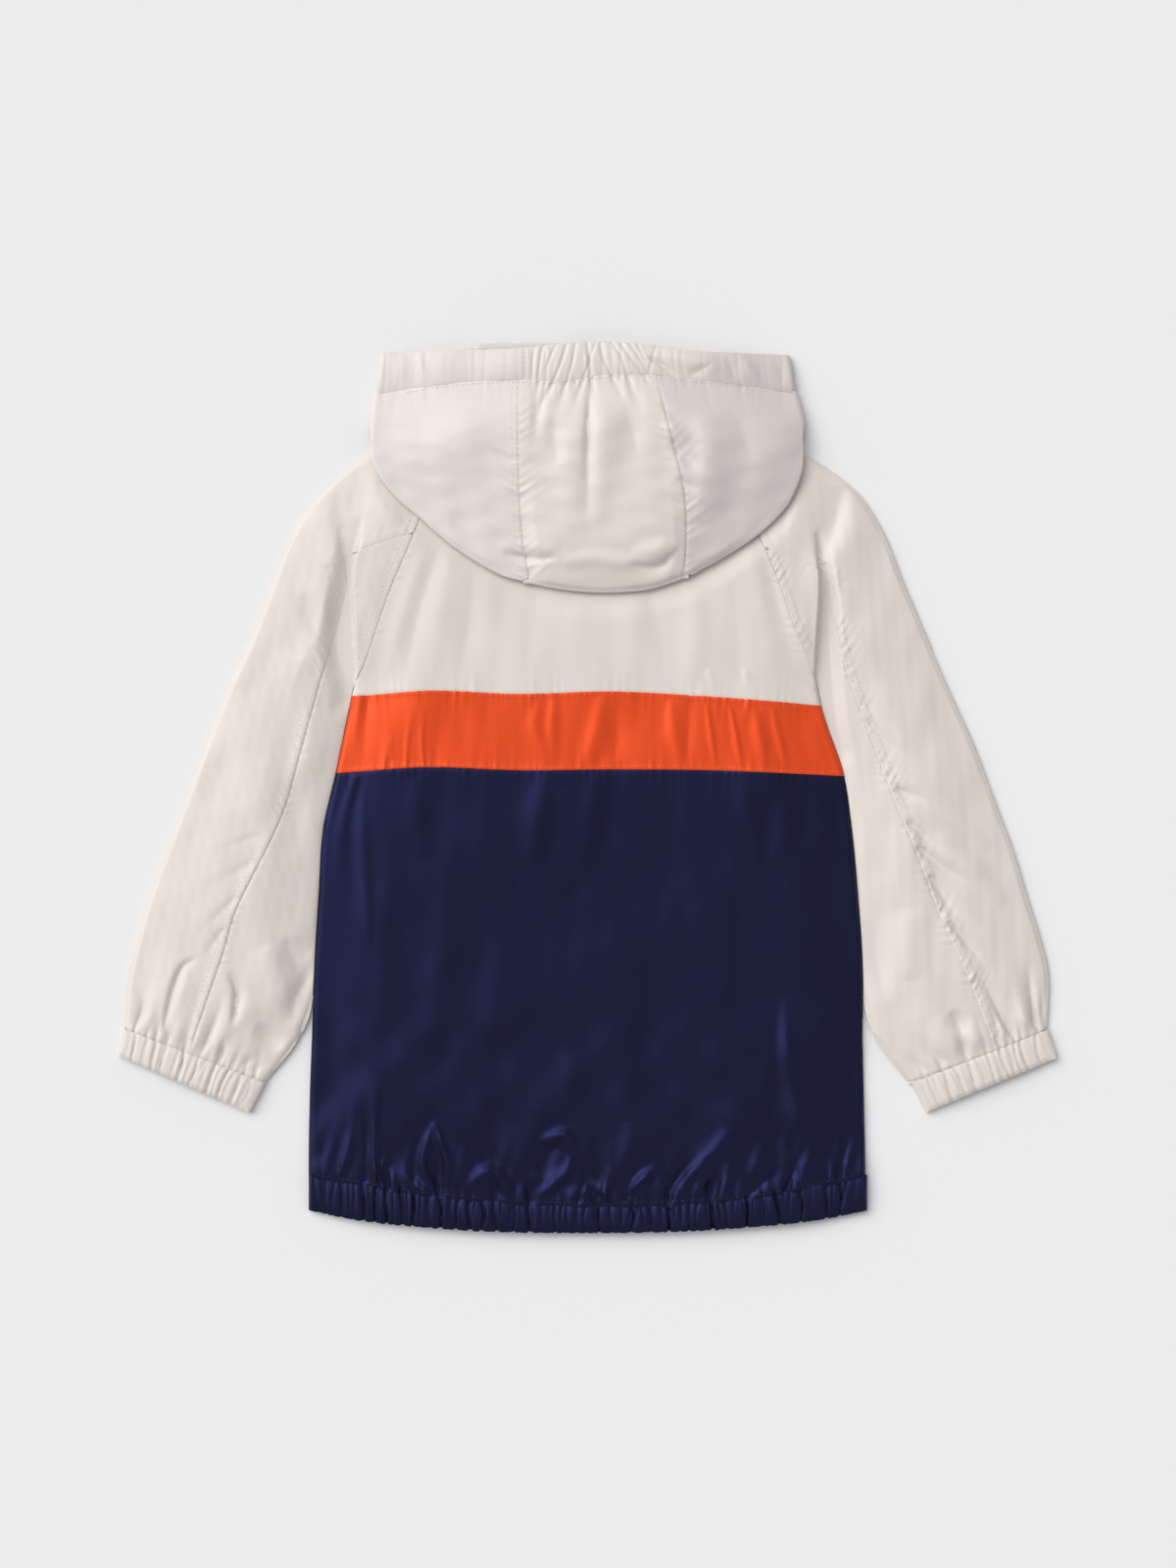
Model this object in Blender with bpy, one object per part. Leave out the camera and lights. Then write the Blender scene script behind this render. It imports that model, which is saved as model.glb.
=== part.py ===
"""A child's hooded parka laid flat on its front, with its back up.

The frame is +X to the wearer's right, +Y from hem to hood, +Z up off the surface, with z = 0 where it rests.
Sizes are in millimetres and become metres in add_object. The lower layer is the front of the coat and the front
halves of the sleeves. The upper layer is its back, and the hood lies folded on top of both.
"""

import math

import bmesh
import bpy
import numpy as np

MM = 0.001

# Cloth, as walls: thickness of each layer and the space between layers.
SEAM = 0.3
LAYER_GAP = 0.3
LOWER_WALL = 2.5
UPPER_WALL = 1.8
HEM_WALL = 2.4
HOOD_WALL = 1.5
CUFF_WALL = 1.9
LOFT = 2.7
LOFT_REACH = 35.0
HOOD_LOFT = 2.9
CASING_Z = 4.3
CUFF_PUFF = 1.6
SHOULDER_GAP = 1.5
NOSE_STEPS = 4
SMOOTH_ANGLE = 40.0
SETTLING_PASSES = 6

# Heights that follow from them.
UPPER_Z = LOWER_WALL + LAYER_GAP
BODY_TOP = UPPER_Z + LOFT + UPPER_WALL
HOOD_Z = BODY_TOP + LAYER_GAP

# Front opening and zip.
ZIP_GAP = 9.0
TAPE_INNER_X = 1.0
TAPE_OUTER_X = 14.0
TAPE_WALL = 0.8
TAPE_TOP_Y = 262.0
TAPE_BOTTOM_Y = -258.0
SLIDER_Y = 226.0
SLIDER_WIDTH = 8.0
SLIDER_LENGTH = 11.0
SLIDER_PLATE = 0.7
SLIDER_POST = 1.3
POST_INSET = 1.0
BRIDGE_WIDTH = 1.6
BRIDGE_LENGTH = 9.0
BRIDGE_DROP = 1.65
BRIDGE_WALL = 0.5
TAB_WIDTH = 5.0
TAB_LENGTH = 24.0
TAB_WALL = 0.6
TAB_RIM = 0.7
TAB_EYE_LENGTH = 5.2
TAB_CLEARANCE = 0.4
BOX_WIDTH = 7.0
BOX_LENGTH = 8.0
BOX_WALL = 2.2
# How far the shapes that are joined into one solid reach into each other.
JOIN = 0.1

CREAM = ((0.78, 0.70, 0.63), 0.42)
ORANGE = ((0.78, 0.09, 0.02), 0.36)
NAVY = ((0.012, 0.014, 0.045), 0.34)
TAPE_NAVY = ((0.015, 0.017, 0.05), 0.7)
METAL = ((0.55, 0.55, 0.56), 0.3)


class Table:
    """Rows of numbers with named columns, read smoothly between rows."""

    def __init__(self, columns, *rows):
        for name, values in zip(columns.split(), np.array(rows, float).T):
            setattr(self, name, values)

    def at(self, key, column, where):
        """One column where another has the value, rising or falling."""
        keys, values = getattr(self, key), getattr(self, column)
        order = np.argsort(keys)
        return smooth_read(keys[order], values[order], where)

    def edge(self, x="x", y="y"):
        return np.column_stack([getattr(self, x), getattr(self, y)])


def smooth_read(keys, values, where):
    """Cubic reading with slopes from the neighbours, straight past the ends."""
    slopes = np.gradient(values, keys)
    where = np.asarray(where, float)
    index = np.clip(np.searchsorted(keys, where) - 1, 0, len(keys) - 2)
    width = keys[index + 1] - keys[index]
    t = np.clip((where - keys[index]) / width, 0, 1)
    rise = values[index + 1] - values[index]
    start, end = slopes[index] * width, slopes[index + 1] * width
    bend = (start * (1 - t) - end * t) * t * (1 - t) + rise * t * t * (3 - 2 * t)
    return values[index] + bend


# Edges of the back: the raglan seams from the neck to the underarm at y = 60, then the sides down to the hem.
SIDES = Table(
    "y left right",
    (243, -49, 49),
    (204, -76, 76),
    (165, -102, 98),
    (144, -110.5, 108.5),
    (122, -120, 117.5),
    (101, -127.5, 124.5),
    (80, -134.5, 134),
    (60, -143.5, 140.5),
    (50, -145.5, 142.5),
    (9, -154, 156),
    (-24, -161.5, 161),
    (-66, -164.5, 165),
    (-114, -167.5, 168),
    (-154, -169, 168),
    (-200, -170.5, 169),
    (-262, -171, 170.5),
)
UNDERARM_ROW = 7
NECK_POINT_ROW = 1
# Lines across the back, each as its height at places across the body.
BAND_TOP = Table(
    "x y", (-172, 56), (-142, 56), (-97, 59), (-42, 57), (15, 58.5), (73, 55.5), (107, 53), (142, 50)
)
BAND_BOTTOM = Table(
    "x y", (-172, 8), (-154, 8.7), (-100, 12.3), (-42, 10.5), (17, 11), (73, 10.5), (156, 7)
)
HEM_STITCH = Table(
    "x y", (-171, -237), (-139, -242), (-92, -249), (0, -255), (92, -251), (139, -243), (171, -236.5)
)
HEM_EDGE = Table(
    "x y", (-171, -257), (-152, -261), (-92, -268), (0, -271), (92, -268), (152, -261), (171, -257)
)
BACK_NECK_Y = 243.0
# The front neckline, from the zip to the raglan seam, the same on both sides.
FRONT_NECK = Table("x y", (0, 204), (20, 206), (45, 214), (61, 226))
# Shoulder line under the hood, from the middle of the neck outwards.
SHOULDER = Table("x y", (0, 243), (49, 243), (75, 232), (132, 204))
# Each sleeve from neck to cuff: its outer edge, the elbow seam on its back, and its inner edge.
SLEEVE_LEFT = Table(
    "out_x out_y seam_x seam_y in_y in_clear",
    (-75, 232, -49, 243, 243, 0),
    (-132, 204, -76, 204, 204, 0),
    (-160, 183, -97, 172, 172, 0),
    (-176, 164, -106, 156, 156, 0),
    (-184, 149, -145, 141.5, 147, 0),
    (-192, 129, -147, 122, 124, 0),
    (-206, 92, -157, 85, 82, 0),
    (-218, 66, -164, 62, 58, 0),
    (-234, 26, -175, 22, 14, 0),
    (-246, -6, -184, -10, -16, 0),
    (-255, -30, -194, -34, -44, 0),
    (-269.5, -69, -214, -74, -95, 0),
    (-277, -96, -222, -100, -128, 0),
    (-282, -119, -231, -126, -152, 7),
    (-284, -146.5, -243.5, -162, -180, 27),
)
SLEEVE_RIGHT = Table(
    "out_x out_y seam_x seam_y in_y in_clear",
    (75, 232, 49, 243, 243, 0),
    (132, 204, 76, 204, 204, 0),
    (163, 182, 95, 169, 169, 0),
    (178, 161, 107, 147, 147, 0),
    (186, 144, 142.5, 132.5, 136, 0),
    (192, 128, 145, 120, 118, 0),
    (206, 95, 152, 92, 88, 0),
    (217, 68, 160, 64, 58, 0),
    (236, 26, 175, 24, 14, 0),
    (248, -6, 187, -8, -16, 0),
    (260, -38, 202, -44, -56, 0),
    (269.5, -69, 213, -74, -95, 0),
    (277, -93, 225, -100, -128, 0),
    (282, -116, 236, -126, -152, 7),
    (281, -147, 249, -160.5, -180, 27),
)
SLEEVE_START = 3  # the row where the elbow seam leaves the raglan seam
SLEEVE_FREE = 12  # the row where the sleeve leaves the body's side
FRONT_NECK_Y = 226.0
SLEEVE_CLEARANCE = 0.5
HOOD_FRONT_REACH = 126.5
CUFF_LEFT = Table(
    "out_x out_y in_x in_y",
    (-284.3, -147.3, -197.2, -180.8),
    (-287.8, -163.5, -206.4, -199),
)
CUFF_RIGHT = Table(
    "out_x out_y in_x in_y",
    (281.3, -147.8, 197.7, -180.8),
    (287.2, -165, 206.4, -198.5),
)

# The hood, lying back. Casing first, then the panels' seams and the fold round them.
CASING_STITCH = Table(
    "x y", (-129, 240), (-83, 246), (-47, 248), (-16, 247), (21, 252), (58, 249), (86, 246), (126, 241)
)
CASING_EDGE = Table(
    "x y", (-126, 265.5), (-84, 267), (-36, 268), (-20, 270), (36, 270), (50, 268), (123, 264)
)
CASING_SIDES = Table("y left right", (266, -126.6, 122.8), (253, -128, 124.8), (240, -130, 126.8))
HOOD_SEAMS = Table(
    "y left right",
    (250, -42, 41.5),
    (217, -42, 50),
    (180, -41.4, 58.5),
    (152, -39.6, 60),
    (127, -35.5, 58.2),
)
HOOD_BOTTOM = Table("x y", (-35.5, 124), (-15.6, 120.3), (14, 118.5), (39.6, 121), (58.2, 127))
HOOD_SIDE_LEFT = Table(
    "fold_x fold_y seam_y",
    (-130.2, 239.5, 247),
    (-132.5, 218, 224),
    (-133, 203, 205),
    (-127, 189, 189),
    (-116.5, 176, 175),
    (-102, 163.5, 163),
    (-81.5, 146, 148),
    (-56, 130.5, 133),
    (-41, 125.6, 128),
)
HOOD_SIDE_RIGHT = Table(
    "fold_x fold_y seam_y",
    (126.8, 240.5, 249),
    (131, 221, 224),
    (132, 203, 205),
    (129.6, 189, 190),
    (121, 171, 172),
    (104, 154, 157),
    (82, 139.5, 142),
    (70, 133, 135),
    (64, 129.4, 130.5),
)
SLOPE_START = 4.0
SLOPE_WIDTH = 16.0

# The largest folds of the upper layers, each a straight run of ridge (or trough, where height is below 0).
BACK_FOLDS = Table(
    "x0 y0 x1 y1 reach height",
    (-147, 138, -152, 95, 9, -2.3),
    (-152, 95, -147, 66, 9, -2.0),
    (143, 128, 141, 70, 9, -2.2),
    (-262, -120, -252, -146, 10, 1.1),
    (-214, -122, -206, -158, 10, 1.2),
    (212, -128, 222, -160, 10, 1.2),
    (262, -118, 266, -146, 10, 1.1),
)
HOOD_FOLDS = Table(
    "x0 y0 x1 y1 reach height",
    (0, 240, 1, 156, 13, 1.6),
    (-26, 238, -20, 196, 11, 1.1),
    (20, 238, 31, 196, 11, 1.1),
    (-118, 206, -66, 158, 20, -1.6),
    (92, 236, 110, 190, 18, -1.3),
)


def smoothstep(t):
    t = np.clip(t, 0, 1)
    return t * t * (3 - 2 * t)


def material(name, look, metallic=0.0):
    colour, roughness = look
    made = bpy.data.materials.get(name) or bpy.data.materials.new(name)
    made.use_nodes = True
    shader = made.node_tree.nodes["Principled BSDF"]
    shader.inputs["Base Color"].default_value = (*colour, 1)
    shader.inputs["Roughness"].default_value = roughness
    shader.inputs["Metallic"].default_value = metallic
    return made


def add_object(name, points, faces, look, metallic=0.0):
    """A closed mesh from millimetre points, its faces turned outwards, as one object with its own material."""
    mesh = bpy.data.meshes.new(name)
    mesh.from_pydata([tuple(p * MM) for p in points], [], faces)
    body = bmesh.new()
    body.from_mesh(mesh)
    if body.calc_volume(signed=True) < 0:
        bmesh.ops.reverse_faces(body, faces=body.faces)
    body.to_mesh(mesh)
    body.free()
    mesh.shade_smooth()
    mesh.set_sharp_from_angle(angle=math.radians(SMOOTH_ANGLE))
    made = bpy.data.objects.new(name, mesh)
    made.data.materials.append(material(name, look, metallic))
    made.parent = bpy.data.objects["parka"]
    bpy.context.scene.collection.objects.link(made)
    return made


def combine(target, helper, operation):
    """Joins a helper shape to a target, or cuts it out, and leaves the helper out of the model."""
    modifier = target.modifiers.new(helper.name, "BOOLEAN")
    modifier.operation = operation
    modifier.object = helper
    helper.hide_render = True
    helper.display_type = "WIRE"


def make_wall(name, outer, inner, look, ring=False):
    """The wall between two matched grids of points, rows by columns. A ring's last column meets its first."""
    rows, columns = outer.shape[:2]
    points = np.concatenate([outer.reshape(-1, 3), inner.reshape(-1, 3)])
    far = rows * columns
    faces = []

    def at(row, column):
        return row * columns + column % columns

    spans = columns if ring else columns - 1
    for row in range(rows - 1):
        for column in range(spans):
            a, b = at(row, column), at(row, column + 1)
            c, d = at(row + 1, column + 1), at(row + 1, column)
            faces.append((a, b, c, d))
            faces.append((far + d, far + c, far + b, far + a))
    for column in range(spans):
        a, b = at(0, column), at(0, column + 1)
        faces.append((b, a, far + a, far + b))
        a, b = at(rows - 1, column), at(rows - 1, column + 1)
        faces.append((a, b, far + b, far + a))
    if not ring:
        for row in range(rows - 1):
            a, d = at(row, 0), at(row + 1, 0)
            faces.append((a, d, far + d, far + a))
            a, d = at(row, columns - 1), at(row + 1, columns - 1)
            faces.append((d, a, far + a, far + d))
    return add_object(name, points, faces, look)


def distance_to(line, x, y):
    """Distance in plan from each place to the nearest point of a line of points."""
    nearest = np.full(np.shape(x), np.inf)
    for (ax, ay), (bx, by) in zip(line[:-1], line[1:]):
        run_x, run_y = bx - ax, by - ay
        along = ((x - ax) * run_x + (y - ay) * run_y) / (run_x**2 + run_y**2)
        along = np.clip(along, 0, 1)
        nearest = np.minimum(nearest, np.hypot(x - ax - along * run_x, y - ay - along * run_y))
    return nearest


def beside(side, y):
    """How far from the middle an edge of the back is at a height."""
    return side * SIDES.at("y", "left" if side < 0 else "right", y)


def inner_edge(table, side):
    """A sleeve's inner edge: along the back, and clear of it near the cuff."""
    return np.column_stack([side * (beside(side, table.in_y) + table.in_clear), table.in_y])


def folds(table, x, y):
    """Height that the folds of a table add at each place, soft across and fading out at both ends."""
    total = np.zeros(np.shape(x))
    starts, ends = table.edge("x0", "y0"), table.edge("x1", "y1")
    for start, end, reach, height in zip(starts, ends, table.reach, table.height):
        total += height * (1 - smoothstep(distance_to([start, end], x, y) / reach))
    return total


LOW_EDGES = [
    SIDES.edge("left", "y")[UNDERARM_ROW:],
    SIDES.edge("right", "y")[UNDERARM_ROW:],
    SLEEVE_LEFT.edge("out_x", "out_y"),
    SLEEVE_RIGHT.edge("out_x", "out_y"),
    inner_edge(SLEEVE_LEFT, -1)[SLEEVE_FREE:],
    inner_edge(SLEEVE_RIGHT, 1)[SLEEVE_FREE:],
]


def loft(x, y):
    """How far the upper layer stands off the lower one: nothing at the coat's edges, most in the middle."""
    nearest = np.min([distance_to(line, x, y) for line in LOW_EDGES], axis=0)
    return np.maximum(LOFT * smoothstep(nearest / LOFT_REACH) + folds(BACK_FOLDS, x, y), 0)


def hood_floor(x, y):
    """Height that the hood's lower layer rests at: the coat's back, then down to the surface past the shoulders."""
    past = y - SHOULDER.at("x", "y", np.minimum(np.abs(x), SHOULDER.x[-1]))
    return HOOD_Z * (1 - smoothstep((past - SLOPE_START) / SLOPE_WIDTH))


def hood_loft(x, y):
    """How far the hood's upper layer stands off its lower one."""
    lines = [
        HOOD_SIDE_LEFT.edge("fold_x", "fold_y"),
        HOOD_BOTTOM.edge(),
        HOOD_SIDE_RIGHT.edge("fold_x", "fold_y"),
    ]
    nearest = np.min([distance_to(line, x, y) for line in lines], axis=0)
    return np.maximum(HOOD_LOFT * smoothstep(nearest / LOFT_REACH) + folds(HOOD_FOLDS, x, y), 0)


def lift(plan, height):
    return np.dstack([plan, height * np.ones(plan.shape[:2])])


def between_lines(above, below, left, right, rows, columns, gap=SEAM / 2):
    """Plan grid of a panel with four curved edges: two lines that cross it and two that run down it."""
    v, u = np.meshgrid(np.linspace(0, 1, rows), np.linspace(0, 1, columns), indexing="ij")
    y = 0 * u + (above(0 * u) - gap) * (1 - v) + (below(0 * u) + gap) * v
    for _ in range(SETTLING_PASSES):
        x = (left(y) + gap) * (1 - u) + (right(y) - gap) * u
        y = (above(x) - gap) * (1 - v) + (below(x) + gap) * v
    return np.dstack([x, y])


def along(edge, steps):
    """An edge read smoothly at fractions of its rows."""
    keys = np.arange(len(edge))
    return np.column_stack([smooth_read(keys, edge[:, i], steps) for i in (0, 1)])


def ruled(a, b, columns, gap=SEAM / 2):
    """Plan grid between two edges that run down it, each drawn in by the gap."""
    across = b - a
    across = across / np.linalg.norm(across, axis=1, keepdims=True)
    a, b = a + across * gap, b - across * gap
    u = np.linspace(0, 1, columns)[None, :, None]
    return a[:, None] * (1 - u) + b[:, None] * u


def panel(name, plan, low, wall, look):
    """A sheet over its plan, from its low side up by its wall."""
    return make_wall(name, lift(plan, low + wall), lift(plan, low), look)


def nose(edge, outwards, low, high):
    """Points round a fold, from its upper side to its lower side, for each row."""
    turn = np.linspace(math.pi / 2, -math.pi / 2, NOSE_STEPS + 1)[1:-1]
    middle, radius = (low + high) / 2, (high - low) / 2
    reach = radius[:, None] * np.cos(turn)
    plan = edge[:, None] + outwards[:, None] * reach[..., None]
    height = middle[:, None] + radius[:, None] * np.sin(turn)
    return np.dstack([plan, height])


def turned(upper, lower, upper_z, lower_z):
    """Outer and inner grids of a sheet that folds at its edge.

    The upper plan runs to the fold and the lower one from it. Each pair of heights is a layer's low and high
    side.
    """
    outwards = upper[:, -1] - upper[:, -2]
    outwards = outwards / np.linalg.norm(outwards, axis=1, keepdims=True)
    (upper_low, upper_high), (lower_low, lower_high) = upper_z, lower_z
    outer_nose = nose(upper[:, -1], outwards, lower_low[:, 0], upper_high[:, -1])
    inner_nose = nose(upper[:, -1], outwards, lower_high[:, 0], upper_low[:, -1])
    outer = np.concatenate([lift(upper, upper_high), outer_nose, lift(lower, lower_low)], axis=1)
    inner = np.concatenate([lift(upper, upper_low), inner_nose, lift(lower, lower_high)], axis=1)
    return outer, inner


def drawn_in(plan, side, by):
    """The same grid with one side column moved inwards along its rows, and the rest shared out again."""
    first, last = plan[:, 0], plan[:, -1]
    across = last - first
    across = across / np.linalg.norm(across, axis=1, keepdims=True)
    if side == "last":
        last = last - across * by
    else:
        first = first + across * by
    u = np.linspace(0, 1, plan.shape[1])[None, :, None]
    return first[:, None] * (1 - u) + last[:, None] * u


def body_left(y):
    return -beside(-1, y)


def body_right(y):
    return beside(1, y)


def line_at(table):
    return lambda x: table.at("x", "y", x)


def build_back():
    yoke = between_lines(
        lambda x: BACK_NECK_Y + 0 * x,
        line_at(BAND_TOP),
        body_left,
        body_right,
        rows=11,
        columns=12,
    )
    band = between_lines(line_at(BAND_TOP), line_at(BAND_BOTTOM), body_left, body_right, rows=6, columns=12)
    lower = between_lines(line_at(BAND_BOTTOM), line_at(HEM_STITCH), body_left, body_right, rows=11, columns=12)
    hem = between_lines(line_at(HEM_STITCH), line_at(HEM_EDGE), body_left, body_right, rows=2, columns=12)
    for name, plan, wall, look in (
        ("back_yoke", yoke, UPPER_WALL, CREAM),
        ("back_band", band, UPPER_WALL, ORANGE),
        ("back_lower", lower, UPPER_WALL, NAVY),
        ("back_hem", hem, HEM_WALL, NAVY),
    ):
        panel(name, plan, UPPER_Z + loft(plan[..., 0], plan[..., 1]), wall, look)


def build_front(side, name):
    """The front of one side, flat on the surface, with its edge at the zip. side is -1 for left."""
    zip_edge = ZIP_GAP / 2

    def inner(y):
        return zip_edge + 0 * y

    def outer(y):
        return beside(side, y)

    def across(table):
        return lambda x: table.at("x", "y", side * x)

    pieces = (
        ("yoke", line_at(FRONT_NECK), across(BAND_TOP), 9, CREAM),
        ("band", across(BAND_TOP), across(BAND_BOTTOM), 6, ORANGE),
        ("lower", across(BAND_BOTTOM), across(HEM_STITCH), 10, NAVY),
        ("hem", across(HEM_STITCH), across(HEM_EDGE), 2, NAVY),
    )
    for part, above, below, rows, look in pieces:
        plan = between_lines(above, below, inner, outer, rows, columns=6)
        plan[..., 0] *= side
        panel(f"front_{part}_{name}", plan, 0, LOWER_WALL, look)


def build_sleeve(table, side, name):
    """A raglan sleeve lying flat: an outer panel that folds round its outer edge, and an inner one behind."""
    start = SLEEVE_START
    steps = np.concatenate([
        np.linspace(0, start, 6),
        start + np.array([0.3, 0.65]),
        np.linspace(start + 1, len(table.out_x) - 1, 16),
    ])
    fold = along(table.edge("out_x", "out_y"), steps)
    underarm = along(inner_edge(table, side), steps)
    free = steps < SLEEVE_FREE
    underarm[free, 0] = side * (beside(side, underarm[free, 1]) + SLEEVE_CLEARANCE)
    seam = along(table.edge("seam_x", "seam_y"), steps)
    seam[steps <= start] = underarm[steps <= start]
    front_raglan = underarm.copy()
    low = SIDES.y[NECK_POINT_ROW]
    above = underarm[:, 1] > low
    drop = (FRONT_NECK_Y - low) / (BACK_NECK_Y - low)
    front_raglan[above, 1] = low + (underarm[above, 1] - low) * drop
    front_raglan[above, 0] = side * (beside(side, front_raglan[above, 1]) + SLEEVE_CLEARANCE)
    fold_radius = (UPPER_Z + UPPER_WALL) / 2
    upper = drawn_in(ruled(seam, fold, columns=7), "last", fold_radius)
    lower = drawn_in(ruled(fold, front_raglan, columns=3), "first", fold_radius)
    lower[:, 0] = upper[:, -1]
    upper_low = UPPER_Z + loft(upper[..., 0], upper[..., 1])
    upper_low[:, -1] = UPPER_Z
    flat = np.zeros(lower.shape[:2])
    outer, inner = turned(upper, lower, (upper_low, upper_low + UPPER_WALL), (flat, flat + LOWER_WALL))
    make_wall(f"sleeve_outer_{name}", outer, inner, CREAM)
    behind = steps > start
    back = ruled(seam[behind], underarm[behind], columns=7)
    panel(f"sleeve_inner_{name}", back, UPPER_Z + loft(back[..., 0], back[..., 1]), UPPER_WALL, CREAM)


def build_cuff(ends, name):
    """A cuff as a flattened ring, its two layers joined by a fold at each end."""
    height = 2 * CUFF_WALL + LAYER_GAP
    rows = 4
    down = np.linspace(0, 1, rows)
    middle = ruled(along(ends.edge("out_x", "out_y"), down), along(ends.edge("in_x", "in_y"), down), columns=8)
    middle = drawn_in(drawn_in(middle, "first", height / 2), "last", height / 2)
    puff = CUFF_PUFF * np.sin(np.linspace(0, math.pi, middle.shape[1]))[None, :] * np.ones((rows, 1))
    low_outer, high_outer = np.zeros(puff.shape), height + puff
    across = middle[:, -1] - middle[:, 0]
    across = across / np.linalg.norm(across, axis=1, keepdims=True)
    grids = []
    for inset in (0, CUFF_WALL):
        low, high = low_outer + inset, high_outer - inset
        right = nose(middle[:, -1], across, low[:, -1], high[:, -1])
        left = nose(middle[:, 0], -across, low[:, 0], high[:, 0])[:, ::-1]
        grids.append(np.concatenate([lift(middle, high), right, lift(middle, low)[:, ::-1], left], axis=1))
    make_wall(f"cuff_{name}", grids[0], grids[1], CREAM, ring=True)


def hood_levels(plan):
    """Low and high sides of the hood's upper layer over a plan."""
    x, y = plan[..., 0], plan[..., 1]
    low = hood_floor(x, y) + HOOD_WALL + LAYER_GAP + hood_loft(x, y)
    return low, low + UPPER_WALL


def build_hood_side(table, side, name):
    """A hood side: over the back, round its fold, under itself to the neck, and on round the front to the zip."""
    steps = np.linspace(0, len(table.fold_x) - 1, 13)
    fold = along(table.edge("fold_x", "fold_y"), steps)
    seam_y = smooth_read(np.arange(len(table.seam_y)), table.seam_y, steps)
    seam = np.column_stack([HOOD_SEAMS.at("y", name, seam_y), seam_y])
    radius = (2 * HOOD_WALL + LAYER_GAP) / 2
    upper = drawn_in(ruled(seam, fold, columns=8), "last", radius)
    lower = upper[:, ::-1].copy()
    low, high = hood_levels(upper)
    floor = hood_floor(lower[..., 0], lower[..., 1])
    high[:, -1] = low[:, -1] + HOOD_WALL
    outer, inner = turned(upper, lower, (low, high), (floor, floor + HOOD_WALL))
    over = make_wall(f"hood_side_{name}", outer, inner, CREAM)

    def neck(x):
        shoulder = SHOULDER.at("x", "y", x) + SHOULDER_GAP
        beside_zip = np.minimum(FRONT_NECK.at("x", "y", x) + SEAM, shoulder)
        return np.where(x < FRONT_NECK.x[-1], beside_zip, shoulder)

    def top(x):
        return CASING_STITCH.at("x", "y", side * x) - SEAM / 2

    def zip_edge(y):
        return ZIP_GAP / 2 + 0 * y

    def reach(y):
        return HOOD_FRONT_REACH + 0 * y

    front = between_lines(top, neck, zip_edge, reach, rows=3, columns=11)
    front[..., 0] *= side
    round_front = panel(f"hood_front_{name}", front, 0, HOOD_WALL, CREAM)
    combine(over, round_front, "UNION")


def build_hood_centre():
    """The hood's centre panel: up from the neck seam underneath, round the fold, and over to the casing."""
    radius = (2 * HOOD_WALL + LAYER_GAP) / 2

    def seam_left(y):
        return HOOD_SEAMS.at("y", "left", y)

    def seam_right(y):
        return HOOD_SEAMS.at("y", "right", y)

    def bottom(x):
        return HOOD_BOTTOM.at("x", "y", x) + radius

    upper = between_lines(line_at(CASING_STITCH), bottom, seam_left, seam_right, rows=12, columns=14)
    lower = between_lines(lambda x: BACK_NECK_Y + 0 * x, bottom, seam_left, seam_right, rows=6, columns=14)
    upper, lower = upper.transpose(1, 0, 2), lower.transpose(1, 0, 2)[:, ::-1].copy()
    lower[:, 0] = upper[:, -1]
    low, high = hood_levels(upper)
    high[:, -1] = low[:, -1] + HOOD_WALL
    floor = HOOD_Z * np.ones(lower.shape[:2])
    outer, inner = turned(upper, lower, (low, high), (floor, floor + HOOD_WALL))
    make_wall("hood_centre", outer, inner, CREAM)


def build_hood_casing():
    """The casing of the hood's face opening: from the zip to one corner, over, and back under to the zip."""
    wall, rows = HOOD_WALL, 4
    radius = (CASING_Z + wall) / 2

    def left(y):
        return CASING_SIDES.at("y", "left", y) + radius

    def right(y):
        return CASING_SIDES.at("y", "right", y) - radius

    def stitch(x):
        return CASING_STITCH.at("x", "y", x) + SEAM

    def at_zip(side):
        return lambda y: side * ZIP_GAP / 2 + 0 * y

    edge = line_at(CASING_EDGE)
    over = between_lines(edge, stitch, left, right, rows, columns=17)
    under_left = between_lines(edge, stitch, at_zip(-1), left, rows, columns=7, gap=0)
    under_right = between_lines(edge, stitch, right, at_zip(1), rows, columns=7, gap=0)
    under_left[:, -1], under_right[:, 0] = over[:, 0], over[:, -1]
    across = over[:, -1] - over[:, 0]
    across = across / np.linalg.norm(across, axis=1, keepdims=True)
    rise = hood_floor(over[..., 0], over[..., 1])
    grids = []
    for inset in (0, wall):
        low = np.full(rows, float(inset))
        high = CASING_Z + wall - inset + rise
        left_nose = nose(over[:, 0], -across, low, high[:, 0])[:, ::-1]
        right_nose = nose(over[:, -1], across, low, high[:, -1])
        grids.append(np.concatenate([lift(under_left, inset), left_nose, lift(over, high), right_nose,
                                     lift(under_right, inset)], axis=1))
    make_wall("hood_casing", grids[0], grids[1], CREAM)


def block(name, low, high, look, metallic=0.0, origin=(0, 0, 0)):
    """A plain box between two corners, its object's own origin at a given place."""
    xs, ys, zs = zip(low, high)
    corners = np.array([(x, y, z) for x in xs for y in ys for z in zs])
    faces = [(0, 1, 3, 2), (4, 6, 7, 5), (0, 4, 5, 1), (2, 3, 7, 6), (0, 2, 6, 4), (1, 5, 7, 3)]
    made = add_object(name, corners - origin, faces, look, metallic)
    made.location = [value * MM for value in origin]
    return made


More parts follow.
